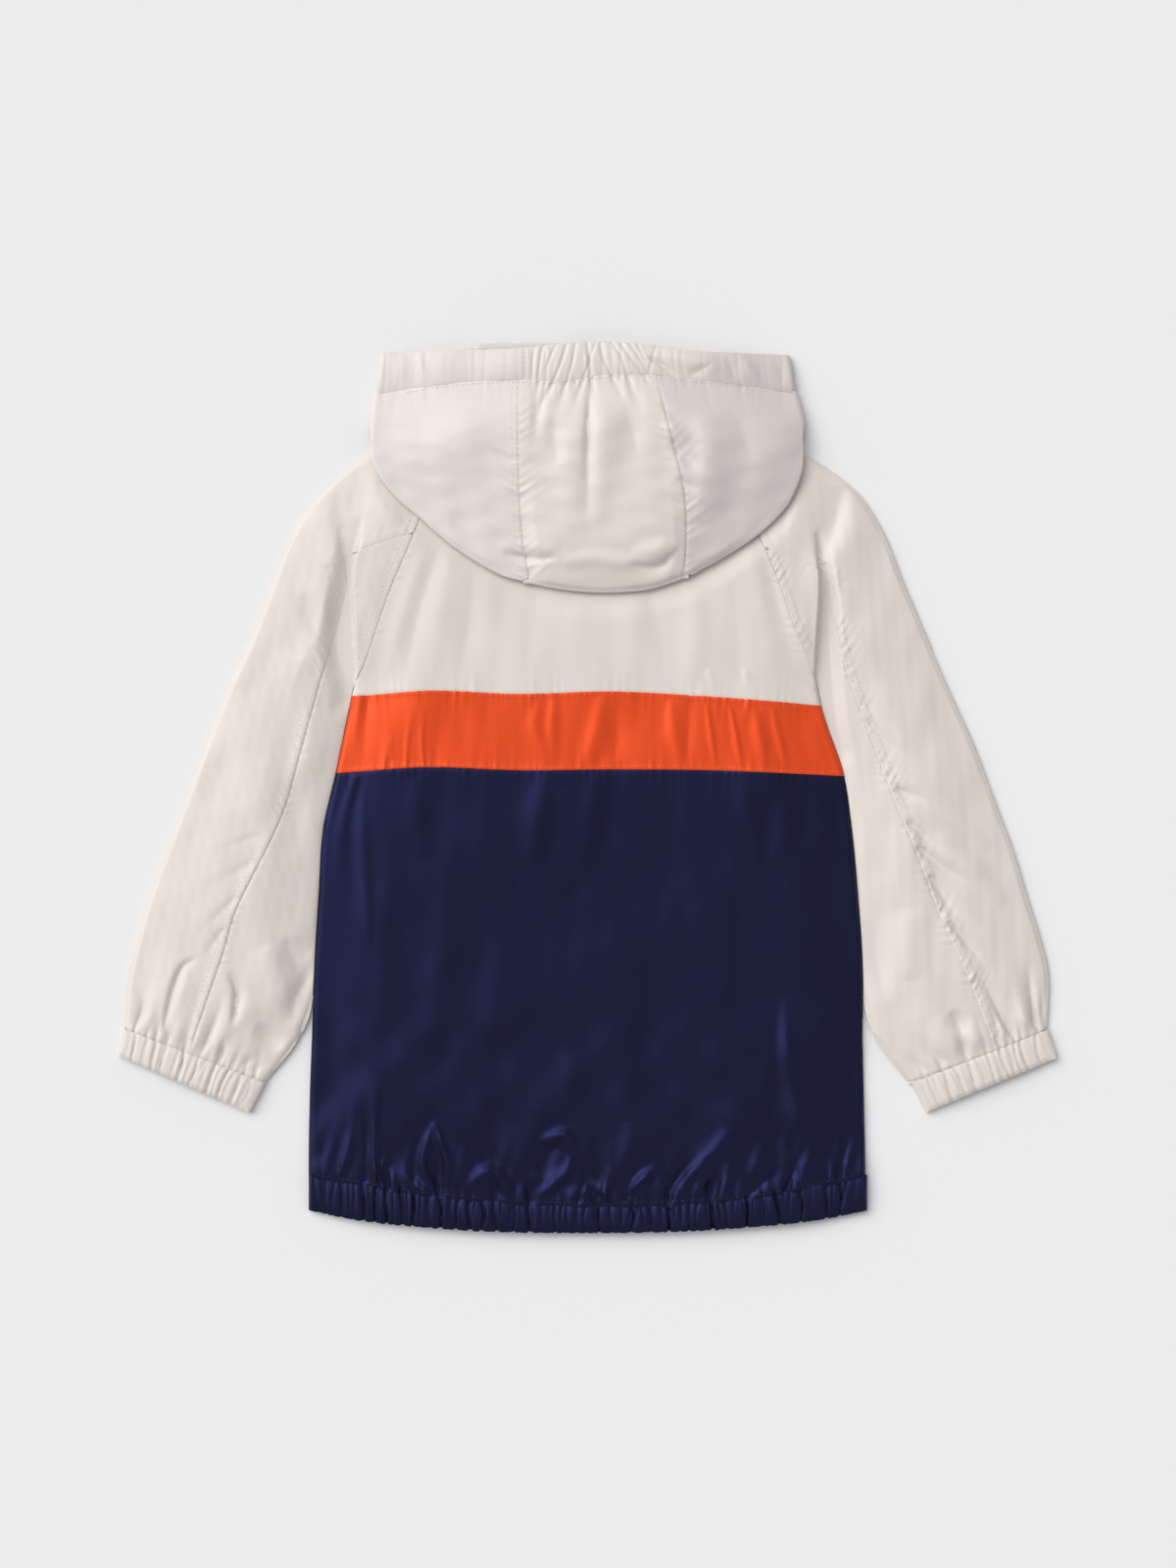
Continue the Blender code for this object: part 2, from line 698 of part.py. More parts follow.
def build_zip():
    """The zip closed to just above the neck: tapes on the inner side of the fronts, slider, pull tab and box.

    The slider is two plates round the tapes, joined by a post between them, with a bridge under the lower
    plate. The pull tab's crossbar lies in the bridge, and turns there about X.
    """
    tape_low = UPPER_Z
    tape_high = tape_low + TAPE_WALL
    for side, name in ((-1, "left"), (1, "right")):
        xs = sorted((side * TAPE_INNER_X, side * TAPE_OUTER_X))
        block(f"zip_tape_{name}", (xs[0], TAPE_BOTTOM_Y, tape_low), (xs[1], TAPE_TOP_Y, tape_high), TAPE_NAVY)
    plate_low = tape_low - LAYER_GAP - SLIDER_PLATE
    plate_high = tape_high + LAYER_GAP + SLIDER_PLATE
    half_width, half_length = SLIDER_WIDTH / 2, SLIDER_LENGTH / 2
    south, north = SLIDER_Y - half_length, SLIDER_Y + half_length
    slider = block(
        "zip_slider", (-half_width, south, plate_low), (half_width, north, plate_low + SLIDER_PLATE), METAL, 1.0
    )
    top_plate = block(
        "slider_top", (-half_width, south, plate_high - SLIDER_PLATE), (half_width, north, plate_high), METAL
    )
    half_post = SLIDER_POST / 2
    post = block(
        "slider_post",
        (-half_post, SLIDER_Y + POST_INSET, plate_low + JOIN),
        (half_post, north - POST_INSET, plate_high - JOIN),
        METAL,
    )
    half_bridge, half_bridge_length = BRIDGE_WIDTH / 2, BRIDGE_LENGTH / 2
    bridge_low = plate_low - BRIDGE_DROP
    bridge = block(
        "slider_bridge",
        (-half_bridge, SLIDER_Y - half_bridge_length, bridge_low),
        (half_bridge, SLIDER_Y + half_bridge_length, plate_low + JOIN),
        METAL,
    )
    eye_low = bridge_low + BRIDGE_WALL
    half_eye = TAB_RIM / 2 + TAB_CLEARANCE
    eye = block(
        "slider_eye",
        (-half_width, SLIDER_Y - half_eye, eye_low),
        (half_width, SLIDER_Y + half_eye, plate_low),
        METAL,
    )
    combine(bridge, eye, "DIFFERENCE")
    for piece in (post, top_plate, bridge):
        combine(slider, piece, "UNION")

    # The tab's crossbar lies on the hinge's axis.
    hinge_z = (eye_low + plate_low) / 2
    half_tab, tab_north = TAB_WIDTH / 2, SLIDER_Y + TAB_RIM / 2
    tab = block(
        "zip_pull_tab",
        (-half_tab, tab_north - TAB_LENGTH, hinge_z - TAB_WALL / 2),
        (half_tab, tab_north, hinge_z + TAB_WALL / 2),
        METAL,
        1.0,
        origin=(0, SLIDER_Y, hinge_z),
    )
    half_hole, hole_north = half_bridge + TAB_CLEARANCE, tab_north - TAB_RIM
    hole = block(
        "tab_hole",
        (-half_hole, hole_north - TAB_EYE_LENGTH, hinge_z - TAB_WALL),
        (half_hole, hole_north, hinge_z + TAB_WALL),
        METAL,
    )
    combine(tab, hole, "DIFFERENCE")
    box_north = TAPE_BOTTOM_Y - SEAM
    box_low = tape_low + (TAPE_WALL - BOX_WALL) / 2
    block(
        "zip_box",
        (-BOX_WIDTH / 2, box_north - BOX_LENGTH, box_low),
        (BOX_WIDTH / 2, box_north, box_low + BOX_WALL),
        METAL,
        1.0,
    )


def main():
    for old in list(bpy.data.objects):
        bpy.data.objects.remove(old)
    parka = bpy.data.objects.new("parka", None)
    bpy.context.scene.collection.objects.link(parka)
    build_back()
    build_front(-1, "left")
    build_front(1, "right")
    build_sleeve(SLEEVE_LEFT, -1, "left")
    build_sleeve(SLEEVE_RIGHT, 1, "right")
    build_cuff(CUFF_LEFT, "left")
    build_cuff(CUFF_RIGHT, "right")
    build_hood_side(HOOD_SIDE_LEFT, -1, "left")
    build_hood_side(HOOD_SIDE_RIGHT, 1, "right")
    build_hood_centre()
    build_hood_casing()
    build_zip()


main()
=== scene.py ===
"""A child's hooded parka laid flat on its front, with its back up: its cloth, stitches and zip.

The frame is +X to the wearer's right, +Y from hem to hood, +Z up off the surface. Shapes are worked out in
millimetres and become metres in make_mesh. Every piece of cloth is a thin shell that stands for a solid of
the frame. Its height comes from the layers that it lies on, then from listed folds, puckers along
the seams and gathers on the elastic.
"""

import math

import bmesh
import bpy
import numpy as np
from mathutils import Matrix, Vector


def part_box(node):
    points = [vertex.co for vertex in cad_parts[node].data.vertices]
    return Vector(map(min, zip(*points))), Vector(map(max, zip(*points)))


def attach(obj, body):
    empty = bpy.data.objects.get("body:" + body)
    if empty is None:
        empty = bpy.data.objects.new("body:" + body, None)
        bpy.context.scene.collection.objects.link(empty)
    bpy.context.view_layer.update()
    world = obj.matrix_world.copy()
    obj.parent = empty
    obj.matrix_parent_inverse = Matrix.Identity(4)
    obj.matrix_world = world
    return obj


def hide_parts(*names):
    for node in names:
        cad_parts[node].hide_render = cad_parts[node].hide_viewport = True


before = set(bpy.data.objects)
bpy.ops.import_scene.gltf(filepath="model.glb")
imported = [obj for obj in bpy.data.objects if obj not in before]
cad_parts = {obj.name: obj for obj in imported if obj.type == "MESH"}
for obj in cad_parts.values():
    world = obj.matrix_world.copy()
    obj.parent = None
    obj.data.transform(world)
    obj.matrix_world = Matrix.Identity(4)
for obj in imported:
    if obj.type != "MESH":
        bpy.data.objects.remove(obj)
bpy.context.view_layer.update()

MM = 0.001

# Cloth: its thickness, the gap at seams, how far it runs on under a neighbour and dips there, how many
# points of its outer side there are to one of its inner side, its thickness in the elastic's casings, and how
# many points go round a fold.
CLOTH = 0.45
SEAM = 0.3
UNDER = 1.1
TUCK = 0.6
INNER_STEP = 3
TUBE_CLOTH = 0.35
FOLD_STEPS = 5

# How far hidden layers lie off what is below them.
FRONT_REST = 0.12
SLEEVE_REST = 0.1
CUFF_REST = 0.15
HOOD_REST = 0.12

# The coat's layers: heights at edges and folds, the loft between them, and how far in each edge curves down.
EDGE_Z = 1.3
UPPER_FOLD_Z = 4.4
SLEEVE_EDGE_Z = 2.6
COAT_LOFT = 4.3
UNDER_HOOD_LOFT = 2.4
LOFT_REACH = 42.0
BODY_ROUND = 3.2
SLEEVE_ROUND = 11.0
FREE_ROUND = 5.0

# The crease at each armpit: the height of its foot, and how far each of its sides slopes.
TROUGH_Z = 1.5
TROUGH_SOFT = {-1: 13.0, 1: 8.5}
TROUGH_STEEP = 1.8

# Hem and cuffs: what the back's hem rests on, its thickness, and the cuffs' height at their ends and middle.
HEM_LOW = 2.7
HEM_MIDDLE_RISE = 1.9
HEM_THICK = 2.9
HEM_HALF_WIDTH = 170.6
CUFF_TOP = 4.6
CUFF_PUFF = 1.9

# The hood: the coat's height under it, its fold, its loft, how far in that rises on each side, the slope past
# the shoulders, how the upper layer hangs over it, and how the cloth settles to its fold.
HOOD_Z = 8.2
HOOD_FOLD_Z = 2.9
HOOD_LOFT = 8.6
HOOD_REACH_LEFT, HOOD_REACH_RIGHT = 95.0, 56.0
SLOPE_START = 4.0
SLOPE_WIDTH = 16.0
HANG_START = 16.0
HANG_WIDTH = 80.0
HOOD_SETTLE = 1.6
CASING_MIDDLE = 4.9
LENS_RISE = 2.6
LENS_REACH = 17.0

# Places in plan, rows of the tables below, the gap that a sleeve keeps from the body, its steps under its
# cuff, and where the yoke starts to run on under the sleeves.
ZIP_GAP = 9.0
HOOD_FRONT_REACH = 126.5
BACK_NECK_Y = 243.0
FRONT_NECK_Y = 226.0
UNDERARM_ROW = 7
NECK_POINT_ROW = 1
SLEEVE_START = 3
SLEEVE_FREE = 12
RAGLAN_GAP = 0.4
RUN_ON = 0.5
UNDERARM_Y = 62.0
UNDERARM_FADE = 8.0

# Meshes: the angle from which an edge is crisp on cloth and on metal, the weave's map, in centimetres, and how
# far it is turned, in degrees.
SHARP = math.radians(65)
CRISP = math.radians(38)
WEAVE_MAP = "weave"
WEAVE_UNIT = 0.1
SLEEVE_GRAIN = 20.0
HOOD_GRAIN = -12.0

SIDE_OF = {"left": -1, "right": 1}


class Table:
    """Rows of numbers with named columns, read smoothly between rows."""

    def __init__(self, columns, *rows):
        self.columns = columns.split()
        self.rows = rows
        for name, values in zip(self.columns, np.array(rows, float).T):
            setattr(self, name, values)

    def at(self, key, column, where):
        """One column where another has the value, rising or falling."""
        keys, values = getattr(self, key), getattr(self, column)
        order = np.argsort(keys)
        return smooth_read(keys[order], values[order], where)

    def edge(self, x="x", y="y"):
        return np.column_stack([getattr(self, x), getattr(self, y)])


def smooth_read(keys, values, where):
    """Cubic reading with slopes from the neighbours, straight past the ends."""
    slopes = np.gradient(values, keys)
    where = np.asarray(where, float)
    index = np.clip(np.searchsorted(keys, where) - 1, 0, len(keys) - 2)
    width = keys[index + 1] - keys[index]
    t = np.clip((where - keys[index]) / width, 0, 1)
    rise = values[index + 1] - values[index]
    start, end = slopes[index] * width, slopes[index + 1] * width
    bend = (start * (1 - t) - end * t) * t * (1 - t) + rise * t * t * (3 - 2 * t)
    return values[index] + bend


# The coat's outline and seams, the same lines that the frame's solids follow.
SIDES = Table(
    "y left right",
    (243, -49, 49),
    (204, -76, 76),
    (165, -102, 98),
    (144, -110.5, 108.5),
    (122, -120, 117.5),
    (101, -127.5, 124.5),
    (80, -134.5, 134),
    (60, -143.5, 140.5),
    (50, -145.5, 142.5),
    (9, -154, 156),
    (-24, -161.5, 161),
    (-66, -164.5, 165),
    (-114, -167.5, 168),
    (-154, -169, 168),
    (-200, -170.5, 169),
    (-262, -171, 170.5),
)
BAND_TOP = Table(
    "x y", (-172, 56), (-142, 56), (-97, 59), (-42, 57), (15, 58.5), (73, 55.5), (107, 53), (142, 50)
)
BAND_BOTTOM = Table(
    "x y", (-172, 8), (-154, 8.7), (-100, 12.3), (-42, 10.5), (17, 11), (73, 10.5), (156, 7)
)
HEM_STITCH = Table(
    "x y", (-171, -237), (-139, -242), (-92, -249), (0, -255), (92, -251), (139, -243), (171, -236.5)
)
HEM_EDGE = Table(
    "x y", (-171, -257), (-152, -261), (-92, -268), (0, -271), (92, -268), (152, -261), (171, -257)
)
FRONT_NECK = Table("x y", (0, 204), (20, 206), (45, 214), (61, 226))
SHOULDER = Table("x y", (0, 243), (49, 243), (75, 232), (132, 204))
SLEEVE_LEFT = Table(
    "out_x out_y seam_x seam_y in_y in_clear",
    (-75, 232, -49, 243, 243, 0),
    (-132, 204, -76, 204, 204, 0),
    (-160, 183, -97, 172, 172, 0),
    (-176, 164, -106, 156, 156, 0),
    (-184, 149, -145, 141.5, 147, 0),
    (-192, 129, -147, 122, 124, 0),
    (-206, 92, -157, 85, 82, 0),
    (-218, 66, -164, 62, 58, 0),
    (-234, 26, -175, 22, 14, 0),
    (-246, -6, -184, -10, -16, 0),
    (-255, -30, -194, -34, -44, 0),
    (-269.5, -69, -214, -74, -95, 0),
    (-277, -96, -222, -100, -128, 0),
    (-282, -119, -231, -126, -152, 7),
    (-284, -146.5, -243.5, -162, -180, 27),
)
SLEEVE_RIGHT = Table(
    "out_x out_y seam_x seam_y in_y in_clear",
    (75, 232, 49, 243, 243, 0),
    (132, 204, 76, 204, 204, 0),
    (163, 182, 95, 169, 169, 0),
    (178, 161, 107, 147, 147, 0),
    (186, 144, 142.5, 132.5, 136, 0),
    (192, 128, 145, 120, 118, 0),
    (206, 95, 152, 92, 88, 0),
    (217, 68, 160, 64, 58, 0),
    (236, 26, 175, 24, 14, 0),
    (248, -6, 187, -8, -16, 0),
    (260, -38, 202, -44, -56, 0),
    (269.5, -69, 213, -74, -95, 0),
    (277, -93, 225, -100, -128, 0),
    (282, -116, 236, -126, -152, 7),
    (281, -147, 249, -160.5, -180, 27),
)
CUFF_LEFT = Table(
    "out_x out_y in_x in_y",
    (-284.3, -147.3, -197.2, -180.8),
    (-287.8, -163.5, -206.4, -199),
)
CUFF_RIGHT = Table(
    "out_x out_y in_x in_y",
    (281.3, -147.8, 197.7, -180.8),
    (287.2, -165, 206.4, -198.5),
)
CASING_STITCH = Table(
    "x y", (-129, 240), (-83, 246), (-47, 248), (-16, 247), (21, 252), (58, 249), (86, 246), (126, 241)
)
CASING_EDGE = Table(
    "x y", (-126, 265.5), (-84, 267), (-36, 268), (-20, 270), (36, 270), (50, 268), (123, 264)
)
CASING_SIDES = Table("y left right", (266, -126.6, 122.8), (253, -128, 124.8), (240, -130, 126.8))
HOOD_SEAMS = Table(
    "y left right",
    (250, -42, 41.5),
    (217, -42, 50),
    (180, -41.4, 58.5),
    (152, -39.6, 60),
    (127, -35.5, 58.2),
)
HOOD_BOTTOM = Table("x y", (-35.5, 124), (-15.6, 120.3), (14, 118.5), (39.6, 121), (58.2, 127))
HOOD_SIDE_LEFT = Table(
    "fold_x fold_y seam_y",
    (-130.2, 239.5, 247),
    (-132.5, 218, 224),
    (-133, 203, 205),
    (-127, 189, 189),
    (-116.5, 176, 175),
    (-102, 163.5, 163),
    (-81.5, 146, 148),
    (-56, 130.5, 133),
    (-41, 125.6, 128),
)
HOOD_SIDE_RIGHT = Table(
    "fold_x fold_y seam_y",
    (126.8, 240.5, 249),
    (131, 221, 224),
    (132, 203, 205),
    (129.6, 189, 190),
    (121, 171, 172),
    (104, 154, 157),
    (82, 139.5, 142),
    (70, 133, 135),
    (64, 129.4, 130.5),
)

# The crease at each armpit: where the sleeve's side of it ends, where the body's side begins, and its depth.
ARMPIT_LEFT = Table(
    "y sleeve_x body_x depth",
    (170, -138, -137, 0),
    (152, -141.5, -140.5, 0.3),
    (136, -145, -143.5, 0.62),
    (120, -147.5, -144.8, 0.9),
    (105, -150.5, -144, 1),
    (92, -153, -143.3, 1),
    (78, -151.5, -142.6, 1),
    (66, -147.5, -143, 1),
    (56, -146, -144.8, 1),
    (40, -149, -147.6, 1),
)
ARMPIT_RIGHT = Table(
    "y sleeve_x body_x depth",
    (165, 142, 141, 0),
    (147, 141.5, 140.5, 0.3),
    (133, 143.5, 142, 0.62),
    (119, 145.8, 142.3, 0.9),
    (92, 147.2, 140.8, 1),
    (68, 148.2, 139.8, 1),
    (53, 149.5, 142.6, 1),
    (32, 152.5, 148.6, 1),
    (10, 157.5, 155.8, 1),
)

# Folds: a run through three places, its half width, height (below 0 for a trough), lean to one side, and
# hold, which is 1 where the fold starts at full height, as at a seam or a gather, and 0 where it fades at
# both ends.
FOLD = "x0 y0 x1 y1 x2 y2 wide height lean hold"
SLEEVE_LEFT_FOLDS = Table(
    FOLD,
    (-156, 180, -151, 166, -146, 142, 6, -1.6, 0.3, 0),
    (-166, 170, -160, 148, -154, 128, 9, 1.0, 0, 0),
    (-152, 160, -148, 140, -147, 126, 2.2, -1.6, 0, 0),
    (-158, 134, -156, 126, -153, 117, 2.6, -0.8, 0, 1),
    (-175, 118, -169, 100, -160, 87, 3.8, -1.1, 0.3, 0),
    (-184, 100, -178, 86, -170, 80, 3.8, -0.7, 0, 0),
    (-166, 128, -161, 108, -155, 90, 4, 0.9, 0, 0),
    (-190, 66, -184, 40, -186, 6, 10, -0.9, 0, 0),
    (-214, 60, -212, 20, -222, -30, 16, 0.8, 0, 0),
    (-206, -46, -222, -56, -242, -68, 3.2, -0.6, 0.2, 1),
    (-204, -30, -224, -38, -246, -47, 3.2, -0.5, 0.2, 1),
    (-216, -68, -230, -82, -240, -92, 3.0, -0.8, 0.2, 1),
    (-224, -88, -232, -100, -239, -106, 2.8, -0.7, 0.2, 1),
    (-239, -104, -250, -114, -262, -158, 2.2, -2.2, 0.25, 0),
    (-262, -158, -256, -132, -246, -118, 2.6, 1.6, 0, 1),
    (-256, -156, -257, -148, -260, -139, 2.0, -1.8, 0, 1),
    (-278, -149, -272, -136, -274, -120, 2.2, -2.4, 0.2, 1),
    (-270, -152, -267, -138, -266, -118, 3.6, 1.1, 0, 1),
    (-219, -112, -214, -126, -217, -146, 2.3, -2.6, 0.3, 0),
    (-236, -164, -227, -142, -222, -124, 2.2, -3.0, 0.3, 1),
    (-229, -165, -221, -148, -209, -128, 3.8, 1.8, 0, 1),
    (-224, -168, -223, -160, -222, -150, 2.0, -2.2, 0, 1),
    (-184, -92, -177, -110, -164, -112, 8, -1.7, 0.2, 0),
    (-166, -108, -178, -128, -181, -144, 5, -2.2, 0.2, 0),
    (-203, -146, -194, -152, -188, -160, 5, -1.8, 0, 0),
    (-196, -96, -190, -118, -196, -140, 9, 1.8, 0, 0),
    (-214, -172, -205, -166, -196, -166, 2.0, -1.1, 0, 1),
    (-208, -176, -199, -170, -190, -170, 2.0, -0.9, 0, 1),
    (-176, 60, -170, 30, -172, 0, 7, 0.9, 0, 0),
    (-182, 6, -178, -20, -184, -44, 8, -1.0, 0, 0),
)
SLEEVE_RIGHT_FOLDS = Table(
    FOLD,
    (156, 184, 151, 162, 144, 138, 6.5, -2.4, -0.3, 0),
    (166, 182, 160, 156, 154, 126, 9, 1.3, 0, 0),
    (139, 156, 143, 146, 144, 133, 2.2, -1.3, 0, 0),
    (152, 136, 150, 122, 149, 108, 2.2, 0.8, 0, 0),
    (172, 40, 184, 26, 196, 16, 2.6, -1.1, 0, 1),
    (170, 52, 178, 42, 190, 30, 2.6, -0.8, 0, 1),
    (190, -2, 210, -10, 232, -28, 3.2, -1.5, 0, 1),
    (196, -22, 214, -36, 236, -46, 3.0, -1.8, 0, 1),
    (203, -38, 222, -52, 250, -64, 3.4, -1.8, 0, 1),
    (210, -56, 222, -74, 240, -92, 3.2, -2.0, 0, 1),
    (206, -30, 228, -44, 254, -72, 6, 2.0, 0, 0),
    (194, -4, 216, -16, 246, -36, 5, 1.3, 0, 0),
    (222, -84, 234, -98, 246, -116, 2.4, -1.8, 0, 1),
    (262, -157, 251, -138, 238, -110, 2.3, -3.0, -0.3, 1),
    (255, -158, 246, -138, 238, -122, 3.4, 1.6, 0, 1),
    (251, -160, 249, -144, 241, -128, 2.0, -2.0, 0, 1),
    (274, -150, 271, -128, 268, -104, 2.2, -2.8, 0.3, 1),
    (279, -149, 278, -134, 279, -118, 2.0, -2.0, 0, 1),
    (268, -152, 264, -132, 258, -116, 4.2, 1.5, 0, 1),
    (232, -166, 229, -156, 228, -146, 2.0, -2.6, 0, 1),
    (240, -163, 236, -152, 232, -138, 4, 1.4, 0, 1),
    (222, -136, 226, -144, 231, -150, 4, -1.8, 0, 0),
    (200, -74, 194, -94, 196, -118, 9, 1.3, 0, 0),
    (180, -60, 176, -96, 182, -130, 8, -1.4, 0, 0),
    (218, -168, 208, -160, 198, -148, 3.2, -1.4, 0, 1),
    (209, -176, 200, -168, 192, -164, 2.4, -1.1, 0, 1),
    (172, 8, 170, -30, 176, -60, 8, 0.8, 0, 0),
)
YOKE_FOLDS = Table(
    FOLD,
    (-98, 150, -112, 110, -124, 66, 5, 0.9, 0, 0),
    (-90, 148, -102, 112, -112, 66, 5, -0.9, 0, 0),
    (-82, 148, -90, 110, -96, 62, 6, 0.9, 0, 0),
    (-70, 140, -72, 104, -80, 62, 6, -0.7, 0, 0),
    (-58, 134, -60, 100, -58, 62, 8, 0.8, 0, 0),
    (-30, 124, -34, 96, -40, 66, 8, -0.6, 0, 0),
    (0, 120, -4, 92, 2, 62, 11, 0.7, 0, 0),
    (34, 122, 44, 96, 46, 62, 7, -0.7, 0, 0),
    (60, 130, 66, 100, 62, 62, 7, 0.8, 0, 0),
    (82, 146, 90, 112, 94, 60, 6, -0.6, 0, 0),
    (96, 152, 106, 118, 112, 70, 6, 1.1, 0, 0),
    (106, 146, 116, 112, 126, 74, 6, -1.4, -0.2, 0),
    (74, 70, 76, 64, 78, 58, 3, 0.8, 0, 1),
    (96, 70, 98, 62, 101, 54, 3, 0.8, 0, 1),
)
BAND_FOLDS = Table(
    FOLD,
    (-139, 56, -142, 34, -145, 9, 3.0, 0.9, 0, 1),
    (-134, 55, -136, 32, -137, 10, 3.6, -0.7, 0, 1),
    (-125, 10, -122, 28, -122, 52, 3.4, 0.8, 0, 1),
    (-111, 10, -110, 30, -107, 52, 1.6, 0.8, 0, 1),
    (-100, 12, -101, 32, -99, 56, 1.6, 0.9, 0.2, 1),
    (-93, 10, -92, 30, -88, 56, 4.2, -0.5, 0, 1),
    (-30, 52, -32, 36, -24, 12, 4.2, 1.3, 0, 0),
    (-20, 56, -22, 36, -20, 14, 3.4, 0.8, 0, 0),
    (8, 56, 6, 36, -2, 12, 5.2, 1.3, 0, 0),
    (16, 54, 18, 36, 16, 16, 6, -0.9, 0, 0),
    (50, 54, 52, 34, 56, 12, 4.4, 1.4, 0.2, 0),
    (62, 54, 61, 34, 60, 14, 3.6, -0.9, 0, 0),
    (72, 52, 75, 32, 78, 12, 1.7, 1.0, 0, 0),
    (86, 52, 90, 32, 93, 12, 1.7, 1.0, 0, 0),
    (101, 50, 104, 32, 109, 10, 3.4, 1.1, 0, 0),
    (112, 50, 116, 32, 122, 10, 2.2, 1.0, 0, 0),
    (98, 53, 97, 46, 96, 38, 2.6, 0.8, 0, 1),
    (132, 46, 138, 30, 146, 10, 5, 0.6, 0, 0),
)
LOWER_FOLDS = Table(
    FOLD,
    (-142, 6, -151, -30, -150, -78, 3.4, 0.7, 0, 1),
    (-136, 8, -138, -24, -134, -100, 3.2, 0.8, 0, 0),
    (-104, 8, -105, -22, -100, -44, 6, 1.1, 0, 0),
    (-128, -60, -126, -100, -124, -150, 9, 0.8, 0, 0),
    (-26, 8, -31, -18, -34, -46, 6, 1.0, 0, 0),
    (-14, 0, -12, -34, -14, -66, 7, 0.8, 0, 0),
    (5, 8, 0, -18, -6, -60, 6, 0.9, 0, 0),
    (62, 8, 64, -28, 62, -70, 7, 0.6, 0, 0),
    (94, 6, 101, -30, 104, -50, 5, 0.9, 0, 0),
    (120, 0, 118, -30, 110, -50, 5, 0.8, 0, 0),
    (-92, -100, -96, -140, -104, -176, 9, 0.9, 0, 0),
    (-52, -96, -66, -140, -74, -180, 10, 0.7, 0, 0),
    (30, -80, 44, -130, 38, -176, 12, -0.6, 0, 0),
    (120, -128, 122, -176, 132, -214, 4.2, 2.0, 0.3, 0),
    (106, -196, 112, -210, 120, -228, 5, -1.8, 0, 0),
    (142, -120, 146, -150, 142, -190, 8, 0.7, 0, 0),
    (-129, -243, -130, -216, -129, -176, 1.9, 2.6, 0.3, 1),
    (-136, -240, -134, -214, -138, -184, 2.4, -1.8, 0, 1),
    (-151, -236, -145, -214, -141, -186, 2.0, 1.3, 0, 1),
    (-122, -244, -125, -226, -126, -212, 2.2, -2.6, 0, 1),
    (-133, -242, -124, -228, -127, -212, 1.7, 1.6, 0, 0),
    (-91, -247, -92, -232, -95, -214, 4.2, -3.4, 0, 1),
    (-91, -249, -101, -230, -94, -204, 2.0, 2.2, 0, 0),
    (-90, -248, -86, -230, -94, -203, 2.0, 2.2, 0, 0),
    (-98, -247, -110, -238, -118, -226, 3, 1.6, 0, 1),
    (-74, -246, -60, -234, -43, -250, 3.2, 2.4, 0, 0),
    (-58, -252, -56, -244, -52, -238, 5.5, -1.8, 0, 1),
    (-31, -250, -14, -236, -9, -222, 2.6, 2.6, 0.2, 0),
    (-9, -224, -14, -212, -30, -216, 2.8, 2.0, 0, 0),
    (-30, -238, -26, -226, -18, -218, 5.5, -2.2, 0, 0),
    (-34, -252, -36, -238, -34, -224, 3.4, -2.0, 0, 1),
    (-14, -251, 2, -245, 18, -251, 3.0, 1.3, 0, 0),
    (-6, -252, -2, -234, -12, -222, 2.4, -1.8, 0, 1),
    (64, -251, 70, -241, 76, -236, 2.4, 1.6, 0, 0),
    (10, -252, 12, -238, 18, -226, 2.4, 2.0, 0, 1),
    (4, -252, 2, -240, 6, -226, 3.4, -2.0, 0, 1),
    (27, -253, 28, -244, 43, -231, 2.2, 2.6, 0.2, 0),
    (24, -250, 26, -240, 34, -230, 2.8, -2.6, 0, 1),
    (22, -228, 26, -216, 24, -204, 4.5, 1.0, 0, 0),
    (50, -253, 54, -240, 80, -212, 2.4, -3.2, 0.3, 1),
    (55, -252, 62, -238, 88, -208, 4.5, 2.4, 0, 0),
    (76, -252, 78, -242, 86, -234, 2.2, -2.8, 0, 1),
    (82, -250, 84, -240, 90, -228, 3.6, 2.0, 0, 1),
    (95, -253, 104, -244, 117, -234, 1.8, -2.4, 0.3, 1),
    (98, -240, 106, -230, 116, -226, 5, 1.2, 0, 0),
    (121, -246, 129, -226, 137, -212, 2.6, -2.6, 0.2, 1),
    (128, -244, 132, -224, 130, -206, 4.2, 1.8, 0, 1),
    (153, -240, 157, -222, 161, -208, 1.9, -2.6, 0.2, 1),
    (146, -240, 148, -222, 146, -204, 4.2, 1.2, 0, 1),
    (-160, -236, -158, -214, -160, -188, 3, 0.9, 0, 1),
)
